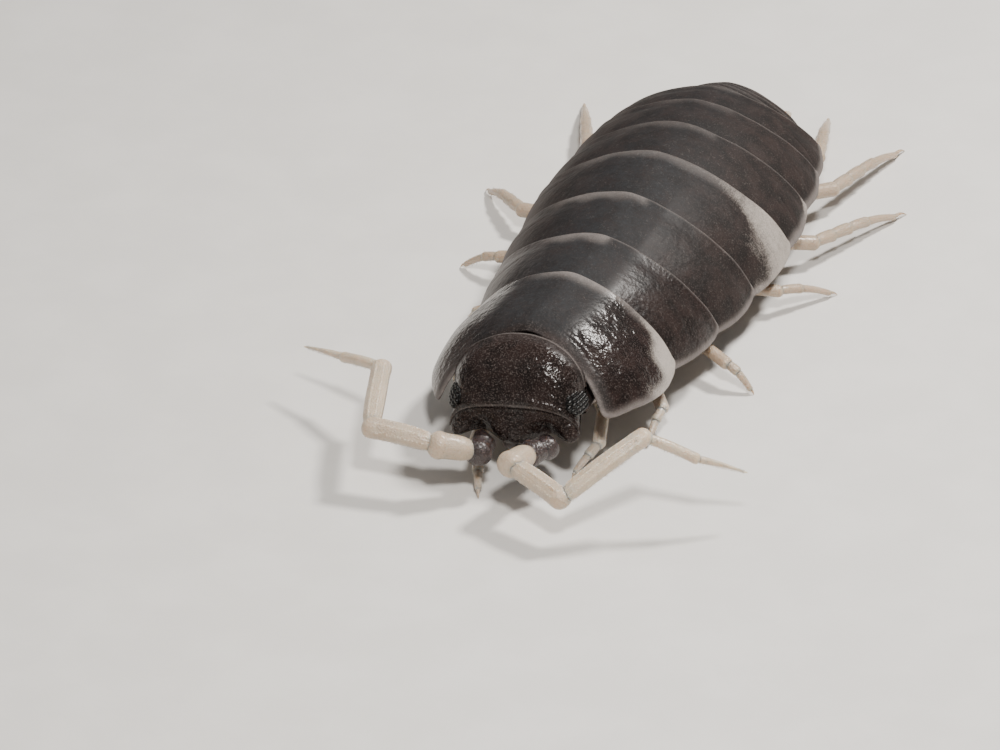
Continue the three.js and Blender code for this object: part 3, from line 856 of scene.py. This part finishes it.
TELSON = {
    "length": 0.62,
    "overlap": 0.3,  # how far it reaches under the tail plates
    "set_back": 0.08,
    "half_widths": (0.675, 0.028),  # at its root and at its tip
    "heights": (0.4, 0.07),
    "drops": (0.14, 0.3),
    "shell": 0.045,
    "uneven": 0.002,
}
TELSON_COLUMN_STEP = 0.04


def add_telson():
    """A triangular last plate with hollow sides, arched across and drawn out to a point."""
    rows = spaced(TELSON["length"] + TELSON["overlap"], ROW_STEP)[:, None]
    across = spaced(2.0, TELSON_COLUMN_STEP) - 1
    share = np.clip((rows - TELSON["overlap"]) / TELSON["length"], 0, 1)
    half_width = lerp(*TELSON["half_widths"], share**0.62)
    arch = lerp(*TELSON["heights"], share**0.9) * (1 - np.abs(across) ** 2.2)
    station = TAIL_END + rows - TELSON["overlap"] + TELSON["set_back"]
    points = place(station, half_width * across, arch - lerp(*TELSON["drops"], share))
    from_side = (1 - np.abs(across)) * half_width
    rows, across = np.broadcast_arrays(rows, across)
    sheet = Sheet(points, rows[-1] - rows, rows, from_side, across)
    rim = TAIL_RIM * fade(np.minimum(sheet.from_hind, sheet.from_side), 0.02, 0.08)
    shape = Shape()
    relief = TELSON["uneven"] * wobble(points, 0.3, SEEDS["telson"])
    add_plate(shape, sheet, relief, TELSON["shell"], rim=rim, **TAIL_LOOK)
    shape.make("telson_plate", CUTICLE, "cuticle", "telson")


add_pleonites()
add_telson()

UROPOD_POINTS = {  # to the side, behind the tail plates' end, and over the edges
    "root": (0.5, -0.1, -0.12),
    "fork": (0.66, 0.58, -0.2),
    "outer": (0.62, 1.3, -0.52),
    "inner": (0.34, 0.98, -0.34),
}
UROPOD_GREY = 0.5

# Articles of a tail limb: ends, radius, flatness, darkness, and at shares of its length its widths
UROPOD_ARTICLES = [
    ("root", "fork", 0.18, 0.6, 0.9, (0, 0.1, 0.8, 0.96, 1), (0, 0.8, 1, 0.85, 0)),
    ("fork", "outer", 0.153, 0.5, 0.35, (0, 0.06, 0.3, 0.7, 1), (0, 0.75, 1, 0.6, 0.05)),
    ("fork", "inner", 0.09, 0.7, 0.2, (0, 0.06, 0.3, 0.7, 1), (0, 0.8, 1, 0.75, 0.1)),
]
UROPOD_RINGS = 28


def add_uropods():
    share = 0.5 - 0.5 * np.cos(np.linspace(0, PI, UROPOD_RINGS))
    for name, mirror in SIDES.items():
        points = {
            key: place(TAIL_END + along, mirror * side, height)
            for key, (side, along, height) in UROPOD_POINTS.items()
        }
        shape = Shape()
        for start, end, radius, flat, dark, shares, widths in UROPOD_ARTICLES:
            centres = lerp(points[start], points[end], share[:, None])
            radii = radius * np.interp(share, shares, widths)
            add_tube(shape, centres, radii, flat=flat, dark=dark, grey=UROPOD_GREY)
        shape.make(f"tail_limb_{name}", LIMB, "pale_cuticle", f"uropod_{name}")


add_uropods()

# Head

HEAD_HALF_WIDTH = 1.14
HEAD_TAPER = 0.056  # how much narrower the front is
HEAD_FRONT = -1.21
HEAD_CORNER_ROUNDING = 0.18
HEAD_ARCH_EXPONENT = 2.4
HEAD_SIDE_HEIGHTS = (0.6, 0.03)  # of the widest line, behind and in front
HEAD_PROFILE = [
    (0, 1.3),
    (-0.3, 1.37),
    (-0.6, 1.3),
    (-0.84, 1.12),
    (-1.04, 0.82),
    (-1.19, 0.54),
    (-1.14, 0.46),
    (-1.2, 0.24),
    (-1.21, 0.02),
    (-1.08, -0.12),
    (-0.6, -0.12),
    (-0.22, -0.06),
    (0, 0.2),
    (0.02, 0.7),
]
HEAD_COLUMNS = 241
HEAD_ROWS = 320
HEAD_REACH = 88  # degrees to each side that the columns reach, just short of its widest points


def head_points(share, profile):
    """Points of the head for shares across and points of the profile, before it is turned."""
    share, y, z = np.broadcast_arrays(share[:, None], profile[:, 0], profile[:, 1])
    forward = y / HEAD_FRONT
    x = share * (HEAD_HALF_WIDTH - HEAD_TAPER * forward)
    reach = (np.abs(x - NECK.shift) / NECK.half_width) ** (NECK.sweep_power * ARCH_EXPONENT / 2)
    hind = NECK.sweep * reach - NECK_GAP
    front = HEAD_FRONT + HEAD_CORNER_ROUNDING * np.abs(share) ** 5
    squeeze = (1 - np.abs(share) ** HEAD_ARCH_EXPONENT).clip(0) ** (1 / HEAD_ARCH_EXPONENT)
    height = lerp(lerp(*HEAD_SIDE_HEIGHTS, forward), z, squeeze)
    return np.stack([x, lerp(hind, front, forward), EDGE_HEIGHT + height], axis=-1)


class Form(NamedTuple):
    """A soft swelling or hollow of the head's left side, mirrored to the right."""

    place: tuple
    radius: float
    shift: tuple


HEAD_FORMS = [
    Form((0.98, -1.12, 0.04), 0.2, (0.05, -0.1, -0.09)),  # side lobe above the feeler's root
    Form((0.56, -1.22, 0.0), 0.22, (0, 0.16, 0.1)),  # hollow round the feeler's root
    Form((0, -1.22, -0.04), 0.3, (0, -0.07, -0.09)),  # middle of the face
    Form((1.04, -0.8, 0.47), 0.26, (-0.035, 0, 0)),  # socket of the eye
]


class Line(NamedTuple):
    """A raised line across the head, with a groove above it and a pale edge."""

    place: tuple  # on the profile
    ridge: Ridge
    groove: Ridge
    pale: Ridge


CREST = (-1.19, 0.54)  # of the profile, the line between the head's top and its face
NAPE = (-0.075, 1.357)  # the visible hind rim of its top
HEAD_LINES = [
    Line(CREST, Ridge(0.016, 0, 0.035), Ridge(-0.016, 0.1, 0.05), Ridge(0.25, 0, 0.03)),
    Line(NAPE, Ridge(0.016, 0, 0.04), Ridge(-0.014, 0.11, 0.05), Ridge(0.5, 0, 0.04)),
]
NAPE_WAX = Ridge(0.55, 0, 0.3)
HEAD_SPECKLE = 0.9
HEAD_UNEVENNESS = 0.004


def add_head():
    share = np.sin(np.radians(np.linspace(-HEAD_REACH, HEAD_REACH, HEAD_COLUMNS)))
    profile = smooth_loop(HEAD_PROFILE, HEAD_ROWS)
    points = head_points(share, profile)
    moved = points.copy()
    for form in HEAD_FORMS:
        for mirror in (1, -1) if form.place[0] else (1,):
            flip = np.array([mirror, 1, 1])
            centre = flip * form.place + (0, 0, EDGE_HEIGHT)
            distance = np.linalg.norm(points - centre, axis=2)
            moved += flip * form.shift * bell(distance, 0, form.radius)[..., None]
    normals = -grid_normals(np.concatenate([moved, moved[:, :1]], axis=1))[:, :-1]
    above = profile[:, 1] > CREST[1]
    push = HEAD_UNEVENNESS * wobble(points, 0.4, SEEDS["head"])
    rim = np.zeros(HEAD_ROWS)
    for line in HEAD_LINES:
        away = np.linalg.norm(profile - line.place, axis=1)
        push += line.ridge.at(away) + above * line.groove.at(away)
        rim += line.pale.at(away)
    wax = NAPE_WAX.at(np.linalg.norm(profile - NAPE, axis=1))
    shape = Shape()
    shape.add(
        turn_head(moved + normals * push[..., None]),
        grid_faces(HEAD_COLUMNS, HEAD_ROWS, wrap=True)[:, ::-1],
        rim=np.tile(rim, HEAD_COLUMNS),
        wax=np.tile(wax, HEAD_COLUMNS),
        speckle=HEAD_SPECKLE,
    )
    shape.make("head_shell", CUTICLE, "cuticle", "head")


NECK_SKIN = {"size": 0.92, "reach": 0.8, "below": 0.1}  # size and reach are shares of the neck's
NECK_SKIN_STATIONS = np.linspace(-0.25, 0.3, 13)


def add_neck():
    """Dark skin from the head to the first plate."""
    size = NECK_SKIN["size"]
    neck = NECK._replace(half_width=size * NECK.half_width, height=size * (NECK.height - LIP))
    shares = np.linspace(-NECK_SKIN["reach"], NECK_SKIN["reach"], SKIN_COLUMNS)
    side, rise, back = arch_row(neck, 0, shares)
    shape = Shape()
    add_skin(shape, place(NECK_SKIN_STATIONS[:, None] + back, side, rise - NECK_SKIN["below"]))
    shape.make("neck_skin", CUTICLE, "cuticle")


add_head()
add_neck()

EYE = {
    "x": 1.0,
    "y": -0.79,
    "z": 0.47,
    "deep": 0.14,
    "long": 0.28,
    "tall": 0.235,
    "lift": 24,  # degrees that it looks upwards
    "toe": 14,  # degrees that it looks forwards
}
LENS = {"spacing": 0.086, "radius": 0.05, "height": 0.026, "reach": 0.94}


def lens_places():
    """Places of the lenses in the eye's own plane, in staggered rows."""
    places = []
    for row in range(-3, 4):
        for column in range(-4, 5):
            along = (column + 0.5 * (row % 2)) * LENS["spacing"]
            up = row * LENS["spacing"] * np.sqrt(3) / 2
            if np.hypot(along / EYE["long"], up / EYE["tall"]) < LENS["reach"]:
                places.append((along, up))
    return places


def add_eyes():
    for name, mirror in SIDES.items():
        turn = rotation("Y", -mirror * EYE["lift"]) @ rotation("Z", -mirror * EYE["toe"])
        centre = np.array([mirror * EYE["x"], EYE["y"], EDGE_HEIGHT + EYE["z"]])
        shape = Shape()
        bed = (EYE["deep"], EYE["long"], EYE["tall"])
        add_ellipsoid(shape, turn_head(centre), bed, turn @ HEAD_MATRIX)
        for along, up in lens_places():
            out = EYE["deep"] * np.sqrt(1 - (along / EYE["long"]) ** 2 - (up / EYE["tall"]) ** 2)
            depth = out + LENS["height"] - LENS["radius"]
            middle = turn_head(np.array([mirror * depth, along, up]) @ turn + centre)
            add_ellipsoid(shape, middle, 3 * [LENS["radius"]], HEAD_MATRIX, rings=14, sides=20)
        shape.make(f"lenses_{name}", EYE_BLACK, "eye", f"eye_{name}")


add_eyes()

# Feelers

ARTICLE_RINGS = 56
FULL_FROST_AND_GLINT = 0.012  # height of a ridge whose top is fully frosted, a white that is partly painted glints


def antenna_ridges():
    """Two strong ridges lengthwise on top, weaker ones below, and fine lines between them.

    Each has its angle round the article in degrees, its height, and its angular width.
    """
    strong = [(70, 0.02, 7), (118, 0.016, 7)]
    weak = [(25, 0.009, 8), (165, 0.009, 8), (245, 0.01, 9), (300, 0.01, 9)]
    draw = np.random.default_rng(SEEDS["ridges"])
    fine = [(angle + draw.uniform(-4, 4), draw.uniform(0.001, 0.003), 3) for angle in range(0, 360, 14)]
    return strong + weak + fine


ANTENNA_RIDGES = antenna_ridges()


def add_article(shape, start, end, radii, flat, sides, bow, ridges=(), neck=0.72, **values):
    """A limb's article: a narrow neck that widens quickly, a slow taper, and rounded ends.

    neck is the neck's share of the full width, and bow is how far the article's middle is bent
    upwards, as a share of its length.
    """
    start_radius, end_radius = radii
    direction = unit(end - start)
    length = np.linalg.norm(end - start)
    start_cap, end_cap = 0.6 * start_radius, 0.8 * end_radius
    at = lerp(-start_cap, length + end_cap, 0.5 - 0.5 * np.cos(np.linspace(0, PI, ARTICLE_RINGS)))
    share = np.clip(at / length, 0, 1)
    radius = lerp(start_radius, end_radius, share)
    radius *= lerp(neck, 1, smooth_step(at, 0, 1.8 * start_radius))
    radius *= 1 + (1 - neck) * (0.25 * bell(share, 0.4, 0.3) + 0.18 * bell(share, 0.97, 0.06))
    radius *= rounded_edge(at + start_cap, start_cap) * rounded_edge(length + end_cap - at, end_cap)
    angle = np.linspace(0, 360, sides, endpoint=False)
    ridge = np.zeros(sides)
    for place_round, height, width in ridges:
        ridge += height * bell((angle - place_round + 180) % 360 - 180, 0, width)
    within = window(share, 0, 0.12, 0.9, 1)[:, None]
    rounds = radius[:, None] * (1 + within * ridge / max(radii))
    # Frost on the ridge tops, partly painted glints
    frost = within * np.clip(ridge / FULL_FROST_AND_GLINT, 0, 1)
    lift = np.cross(unit(np.cross(direction, (0, 0, 1))), direction)
    centres = start + at[:, None] * direction + (bow * length * np.sin(PI * share))[:, None] * lift
    add_tube(shape, centres, rounds, sides=sides, flat=flat, frost=frost, **values)


FUR_ROOTS = {"margin": 0.06, "depth": 0.86}  # shares of an article's length and radius
FUR_LEAN = 0.9
HAIR_RADIUS = 0.0035


def add_fur(shape, start, end, radii, count, length, seed, **values):
    """Short three-sided hairs that lean towards the end of an article."""
    draw = np.random.default_rng(seed)
    along = unit(end - start)
    helper = unit(np.cross(along, (0.3, 0.2, 1)))
    other = np.cross(along, helper)
    angle = draw.uniform(0, 2 * PI, count)[:, None]
    outward = helper * np.cos(angle) + other * np.sin(angle)
    share = draw.uniform(FUR_ROOTS["margin"], 1 - FUR_ROOTS["margin"], count)[:, None]
    roots = lerp(start, end, share) + outward * lerp(*radii, share) * FUR_ROOTS["depth"]
    lengths = length * draw.uniform(0.6, 1.3, count)[:, None] + 0.1 * max(radii)
    hairs = unit(outward + FUR_LEAN * along)
    side = unit(np.cross(hairs, np.where(np.abs(hairs[:, 2:]) < 0.9, (0, 0, 1), (1, 0, 0))))
    lift = np.cross(hairs, side)
    corners = [
        roots + HAIR_RADIUS * (side * np.cos(turn) + lift * np.sin(turn))
        for turn in np.linspace(0, 2 * PI, 3, endpoint=False)
    ]
    first = 4 * np.arange(count)[:, None]
    faces = np.concatenate([first + (0, 1, 3), first + (1, 2, 3), first + (2, 0, 3)])
    shape.add(np.stack([*corners, roots + hairs * lengths], axis=1), faces, **values)


ANTENNA_BASE = (0.56, -1.19, -0.08)
ANTENNA_LENGTHS = (0.3, 0.27, 0.7, 1.18, 1.7, 0.94, 0.9)
ANTENNA_RADII = [
    (0.17, 0.2),
    (0.2, 0.24),
    (0.17, 0.235),
    (0.16, 0.195),
    (0.15, 0.165),
    (0.085, 0.095),
    (0.07, 0.012),
]
ANTENNA_POSES = {  # degrees that each article turns from straight ahead, and that it rises
    "left": ((18, -52, -17, 57, 126, 98, 109), (4, 2, 12, -12, 25, -28, -25)),
    "right": ((20, -3, -66, -95, -173, -123, -117), (1, 2, 22, 11, 6, -8, -4)),
}
ANTENNA_TANS = (0.35, 0.35, 0.35, 0.35, 0, 0, 0)
ANTENNA_FUR = {"per_mm": 420, "length": 0.03}
ANTENNA_SEEDS = {"left": 100, "right": 200}
RIDGED_LOOK = {"flat": 0.86, "sides": 120, "ridges": ANTENNA_RIDGES}  # of the two longest articles
PLAIN_LOOK = {"flat": 0.95, "sides": 48}


def antenna_points(name):
    turns, rises = ANTENNA_POSES[name]
    x, y, z = ANTENNA_BASE
    points = [np.array([SIDES[name] * x, y, EDGE_HEIGHT + z])]
    for length, turn, rise in zip(ANTENNA_LENGTHS, turns, rises):
        heading = np.radians(turn - HEAD_TURN)
        climb = np.radians(rise)
        step = [np.sin(heading) * np.cos(climb), -np.cos(heading) * np.cos(climb), np.sin(climb)]
        points.append(points[-1] + length * np.array(step))
    return turn_head(points)


def add_antennae():
    fading = 0.8 * fade(np.linspace(0, 1, ARTICLE_RINGS)[:, None], 0.1, 0.35)
    darks = [1, 1, fading, 0, 0, 0, 0]
    for name, seed in ANTENNA_SEEDS.items():
        points = antenna_points(name)
        shape = Shape()
        for index, (radii, tan, dark) in enumerate(zip(ANTENNA_RADII, ANTENNA_TANS, darks)):
            start, end = points[index : index + 2]
            look = RIDGED_LOOK if index in (3, 4) else PLAIN_LOOK
            add_article(shape, start, end, radii, bow=0.02, dark=dark, tan=tan, **look)
            if index > 1:
                count = round(ANTENNA_FUR["per_mm"] * np.linalg.norm(end - start))
                add_fur(shape, start, end, radii, count, ANTENNA_FUR["length"], seed + index, tan=tan)
        shape.make(f"feeler_{name}", LIMB, "antenna", f"antenna_{name}")


add_antennae()

# Legs

LEG_POSES = {  # knee and toe of each leg, in plan
    "left": [
        ((1.16, -0.2), (0.92, -0.88)),
        ((1.86, 1.05), (1.78, 0.42)),
        ((2.42, 2.78), (2.95, 2.66)),
        ((2.52, 5.35), (3.29, 6.27)),
        ((2.6, 7.1), (3.61, 9.28)),
        ((2.36, 8.98), (2.93, 11.4)),
        ((1.78, 9.98), (1.34, 12.05)),
    ],
    "right": [
        ((-0.78, -0.75), (-0.34, -1.99)),
        ((-1.8, 1.2), (-1.6, 0.55)),
        ((-2.1, 3.0), (-2.2, 2.2)),
        ((-2.35, 4.9), (-3.11, 5.07)),
        ((-2.5, 6.55), (-3.56, 7.7)),
        ((-2.1, 8.9), (-2.92, 11.15)),
        ((-1.52, 9.9), (-1.2, 11.85)),
    ],
}
COXA = {"reach": 0.5, "height": -0.3}
KNEE_HEIGHT = 0.45
WRIST = {"share": 0.52, "height": 0.33}
ANKLE = {"share": 0.86, "height": 0.1}  # where the claw starts, between the knee and the toe
LOWERED = {"knee": 0.34, "wrist": 0.21}  # heights of the foremost legs
CLAW_TIP = 0.012  # height of the claw's tip

# Articles of a leg: the stretch of the leg's route that each takes, and its radii at both ends
LEG_ARTICLES = {
    "long": [
        ("basis", 0.0, 1.0, 0.13, 0.14),
        ("ischium", 1.0, 1.36, 0.105, 0.12),
        ("merus", 1.36, 1.7, 0.1, 0.115),
        ("carpus", 1.7, 2.1, 0.09, 0.1),
        ("propodus", 2.1, 3.0, 0.08, 0.058),
        ("claw", 3.0, 4.0, 0.042, 0.006),
    ],
    "short": [  # of a leg drawn in under the body
        ("basis", 0.0, 1.0, 0.11, 0.115),
        ("merus", 1.0, 1.7, 0.08, 0.09),
        ("propodus", 1.7, 3.0, 0.072, 0.052),
        ("claw", 3.0, 4.0, 0.036, 0.006),
    ],
}
SHORT_LEG = 1.3  # plan length from the knee to the toe below which a leg counts as short
FRONT_TINT = {"grey": 0.7, "tan": 0}  # of the first two pairs
# The hind legs' tan is partly painted warm bounce light
HIND_TINT_AND_BOUNCE = {"grey": 0.1, "tan": 0.65}
LEG_FORM = {"flat": 0.92, "sides": 28, "neck": 0.92}
LEG_FUR = {"articles": ("merus", "carpus", "propodus"), "count": 40, "length": 0.05}
LEG_SEEDS = {"left": 300, "right": 310}
HIP = {"radii": (0.22, 0.24, 0.28), "lift": 0.1}


def leg_route(name, index):
    """Points of a leg from its root over the knee, wrist and ankle to the toe."""
    plate = PEREONITES[index]
    knee, toe = (np.array(point, float) for point in LEG_POSES[name][index])
    heights = (LOWERED["knee"], LOWERED["wrist"]) if index == 0 else (KNEE_HEIGHT, WRIST["height"])
    wrist = lerp(knee, toe, WRIST["share"])
    ankle = lerp(knee, toe, ANKLE["share"])
    side = SIDES[name] * COXA["reach"] * plate.half_width
    root = place(HIND_MARGINS[index] + plate.length / 2, side, COXA["height"])
    return np.array(
        [root, (*knee, heights[0]), (*wrist, heights[1]), (*ankle, ANKLE["height"]), (*toe, CLAW_TIP)]
    )


def along_route(route, at):
    return np.array([np.interp(at, range(len(route)), places) for places in route.T])


def add_leg(name, index):
    route = leg_route(name, index)
    reach = np.linalg.norm(route[-1, :2] - route[1, :2])
    tint = FRONT_TINT if index < 2 else HIND_TINT_AND_BOUNCE
    seed = LEG_SEEDS[name] + 20 * index
    amber = 0.9 * smooth_step(np.linspace(0, 1, ARTICLE_RINGS)[:, None], 0.3, 1)
    shape = Shape()
    for number, article in enumerate(LEG_ARTICLES["short" if reach < SHORT_LEG else "long"]):
        kind, first, last, *radii = article
        start, end = along_route(route, first), along_route(route, last)
        look = {"bow": 0.12, "amber": amber} if kind == "claw" else {"bow": 0.03}
        add_article(shape, start, end, radii, **LEG_FORM, **look, **tint)
        if kind in LEG_FUR["articles"]:
            add_fur(shape, start, end, radii, LEG_FUR["count"], LEG_FUR["length"], seed + number, **tint)
    add_ellipsoid(shape, route[0] + (0, 0, HIP["lift"]), HIP["radii"], **tint)
    shape.make(f"limb_{name}_{index + 1}", LIMB, "leg", f"leg_{name}_{index + 1}")


for side_name in SIDES:
    for leg_index in range(len(PEREONITES)):
        add_leg(side_name, leg_index)

# Underside

BELLY_SHARE = 0.66  # half width of the belly, as a share of the plates'
BELLY_TOP = 0.6  # its height, as a share of theirs
BELLY_DEPTH = 0.06
BELLY_STEP = 0.03
BELLY_SIDES = 72
BELLY_SQUARENESS = 0.7
BELLY_GROOVES = Ridge(0.05, 0, 0.06)  # below the joints
BELLY_ENDS = (-0.25, TAIL_END + 0.1)
# Painted shade on the belly's ends, where it shows under the head and between the tail plates, strongest
# on its top
PAINTED_SHADE_ENDS = {"front": (-0.1, 0.3), "hind": (TRUNK_LENGTH - 0.1, TRUNK_LENGTH + 0.1)}
PAINTED_SHADE_STRENGTHS = {"low": 0.3, "top": 0.9}


def along_body(measure, stations):
    """A measure of the plates, between their hind margins."""
    return np.interp(stations, HIND_MARGINS, [getattr(plate, measure) for plate in BODY])


def add_belly():
    stations = np.arange(*BELLY_ENDS, BELLY_STEP)[:, None]
    groove = BELLY_GROOVES.at(np.abs(stations - HIND_MARGINS).min(axis=1, keepdims=True))
    angle = np.linspace(0, 2 * PI, BELLY_SIDES, endpoint=False)
    squared = np.abs(np.cos(angle)) ** BELLY_SQUARENESS * np.sign(np.cos(angle))
    side = (BELLY_SHARE * along_body("half_width", stations) - groove) * squared
    low = np.sin(angle) < 0
    depth = BELLY_DEPTH - groove + along_body("drop", stations)
    rise = np.sin(angle) * np.where(low, depth, BELLY_TOP * along_body("height", stations))
    # Painted shade at both ends of the belly
    dark = fade(stations, *PAINTED_SHADE_ENDS["front"]) + smooth_step(stations, *PAINTED_SHADE_ENDS["hind"])
    shade = dark * np.where(low, PAINTED_SHADE_STRENGTHS["low"], PAINTED_SHADE_STRENGTHS["top"])
    shape = Shape()
    faces = grid_faces(len(stations), BELLY_SIDES, wrap=True)
    shape.add(place(stations, side, rise), faces, shade=shade)
    shape.make("belly", BELLY, "pale_cuticle")


JAWS = [  # centres and radii of the left ones
    ((0.14, -0.76, -0.26), (0.17, 0.3, 0.2)),
    ((0.09, -0.98, -0.24), (0.1, 0.14, 0.16)),
    ((0.2, -0.62, -0.34), (0.09, 0.2, 0.12)),
]
# Painted shade on the jaws, which sit under the head
JAW_PAINTED_SHADE = 0.7


def add_mouthparts():
    shape = Shape()
    for mirror in SIDES.values():
        for (side, along, height), radii in JAWS:
            centre = turn_head([mirror * side, along, EDGE_HEIGHT + height])
            add_ellipsoid(shape, centre, radii, shade=JAW_PAINTED_SHADE)
    shape.make("jaws", BELLY, "pale_cuticle", "mouthparts")


add_belly()
add_mouthparts()

# Floor, lights and camera

FLOOR_HALF = 0.6  # metres


def add_floor():
    mesh = bpy.data.meshes.new("floor")
    corners = [(FLOOR_HALF * x, FLOOR_HALF * y, 0) for x, y in ((-1, -1), (1, -1), (1, 1), (-1, 1))]
    mesh.from_pydata(corners, [], [(0, 1, 2, 3)])
    mesh.materials.append(floor_material())
    floor = bpy.data.objects.new("floor", mesh)
    bpy.context.scene.collection.objects.link(floor)


LIGHT_AIM = Vector((0, 0, 1.2 * MM))
FLASH_WHITE = (1, 0.965, 0.92)
WARM_WHITE = (1, 0.97, 0.93)
WORLD_WHITE = (0.92, 0.9, 0.88, 1)
WORLD_STRENGTH = 0.28


def add_light(name, direction, distance, size, power, color):
    """A round soft light that looks at the animal's middle from a direction."""
    light = bpy.data.lights.new(name, "AREA")
    light.shape = "DISK"
    light.size = size * MM
    light.energy = power
    light.color = color
    lamp = bpy.data.objects.new(name, light)
    offset = Vector(direction).normalized() * distance * MM
    turn = offset.to_track_quat("Z", "Y").to_matrix().to_4x4()
    lamp.matrix_world = Matrix.Translation(LIGHT_AIM + offset) @ turn
    bpy.context.scene.collection.objects.link(lamp)


def set_world():
    world = bpy.data.worlds.new("studio")
    world.use_nodes = True
    background = world.node_tree.nodes["Background"]
    background.inputs["Color"].default_value = WORLD_WHITE
    background.inputs["Strength"].default_value = WORLD_STRENGTH
    bpy.context.scene.world = world


# The camera looks along the photograph's line of sight, found from the margins of the back plates
VIEW_FORWARD = (-0.2799, 0.8105, -0.5145)
VIEW_RIGHT = (0.9453, 0.3262, -0.0005)
CAMERA_DISTANCE = 159.8
PIXELS_PER_MM = 60.14  # at that distance
IMAGE_SIZE = (1000, 750)
NECK_PIXEL = (536.7, 399.5)
SENSOR = 36.0


def add_camera():
    forward = unit(VIEW_FORWARD)
    up = unit(np.cross(unit(VIEW_RIGHT), forward))
    right = np.cross(forward, up)
    across = (IMAGE_SIZE[0] / 2 - NECK_PIXEL[0]) / PIXELS_PER_MM
    above = (NECK_PIXEL[1] - IMAGE_SIZE[1] / 2) / PIXELS_PER_MM
    aim = np.array([0, 0, EDGE_HEIGHT]) + right * across + up * above
    eye = to_frame(aim - forward * CAMERA_DISTANCE)
    camera = bpy.data.cameras.new("camera")
    camera.sensor_width = SENSOR
    camera.lens = SENSOR * CAMERA_DISTANCE * PIXELS_PER_MM / IMAGE_SIZE[0]
    camera.clip_start = MM
    camera.clip_end = 10
    holder = bpy.data.objects.new("camera", camera)
    axes = Matrix(np.stack([right, up, -forward], axis=1)).to_4x4()
    holder.matrix_world = Matrix.Translation(Vector(eye)) @ axes
    bpy.context.scene.collection.objects.link(holder)
    bpy.context.scene.camera = holder


add_floor()
add_light("key", (0.36, 0.38, 0.85), distance=45, size=7.5, power=0.028, color=FLASH_WHITE)
add_light("front", (0.25, -0.56, 0.79), distance=45, size=6, power=0.017, color=WARM_WHITE)
add_light("fill", (-0.5, -0.7, 0.9), distance=90, size=70, power=0.003, color=WARM_WHITE)
set_world()
add_camera()

bpy.context.view_layer.update()
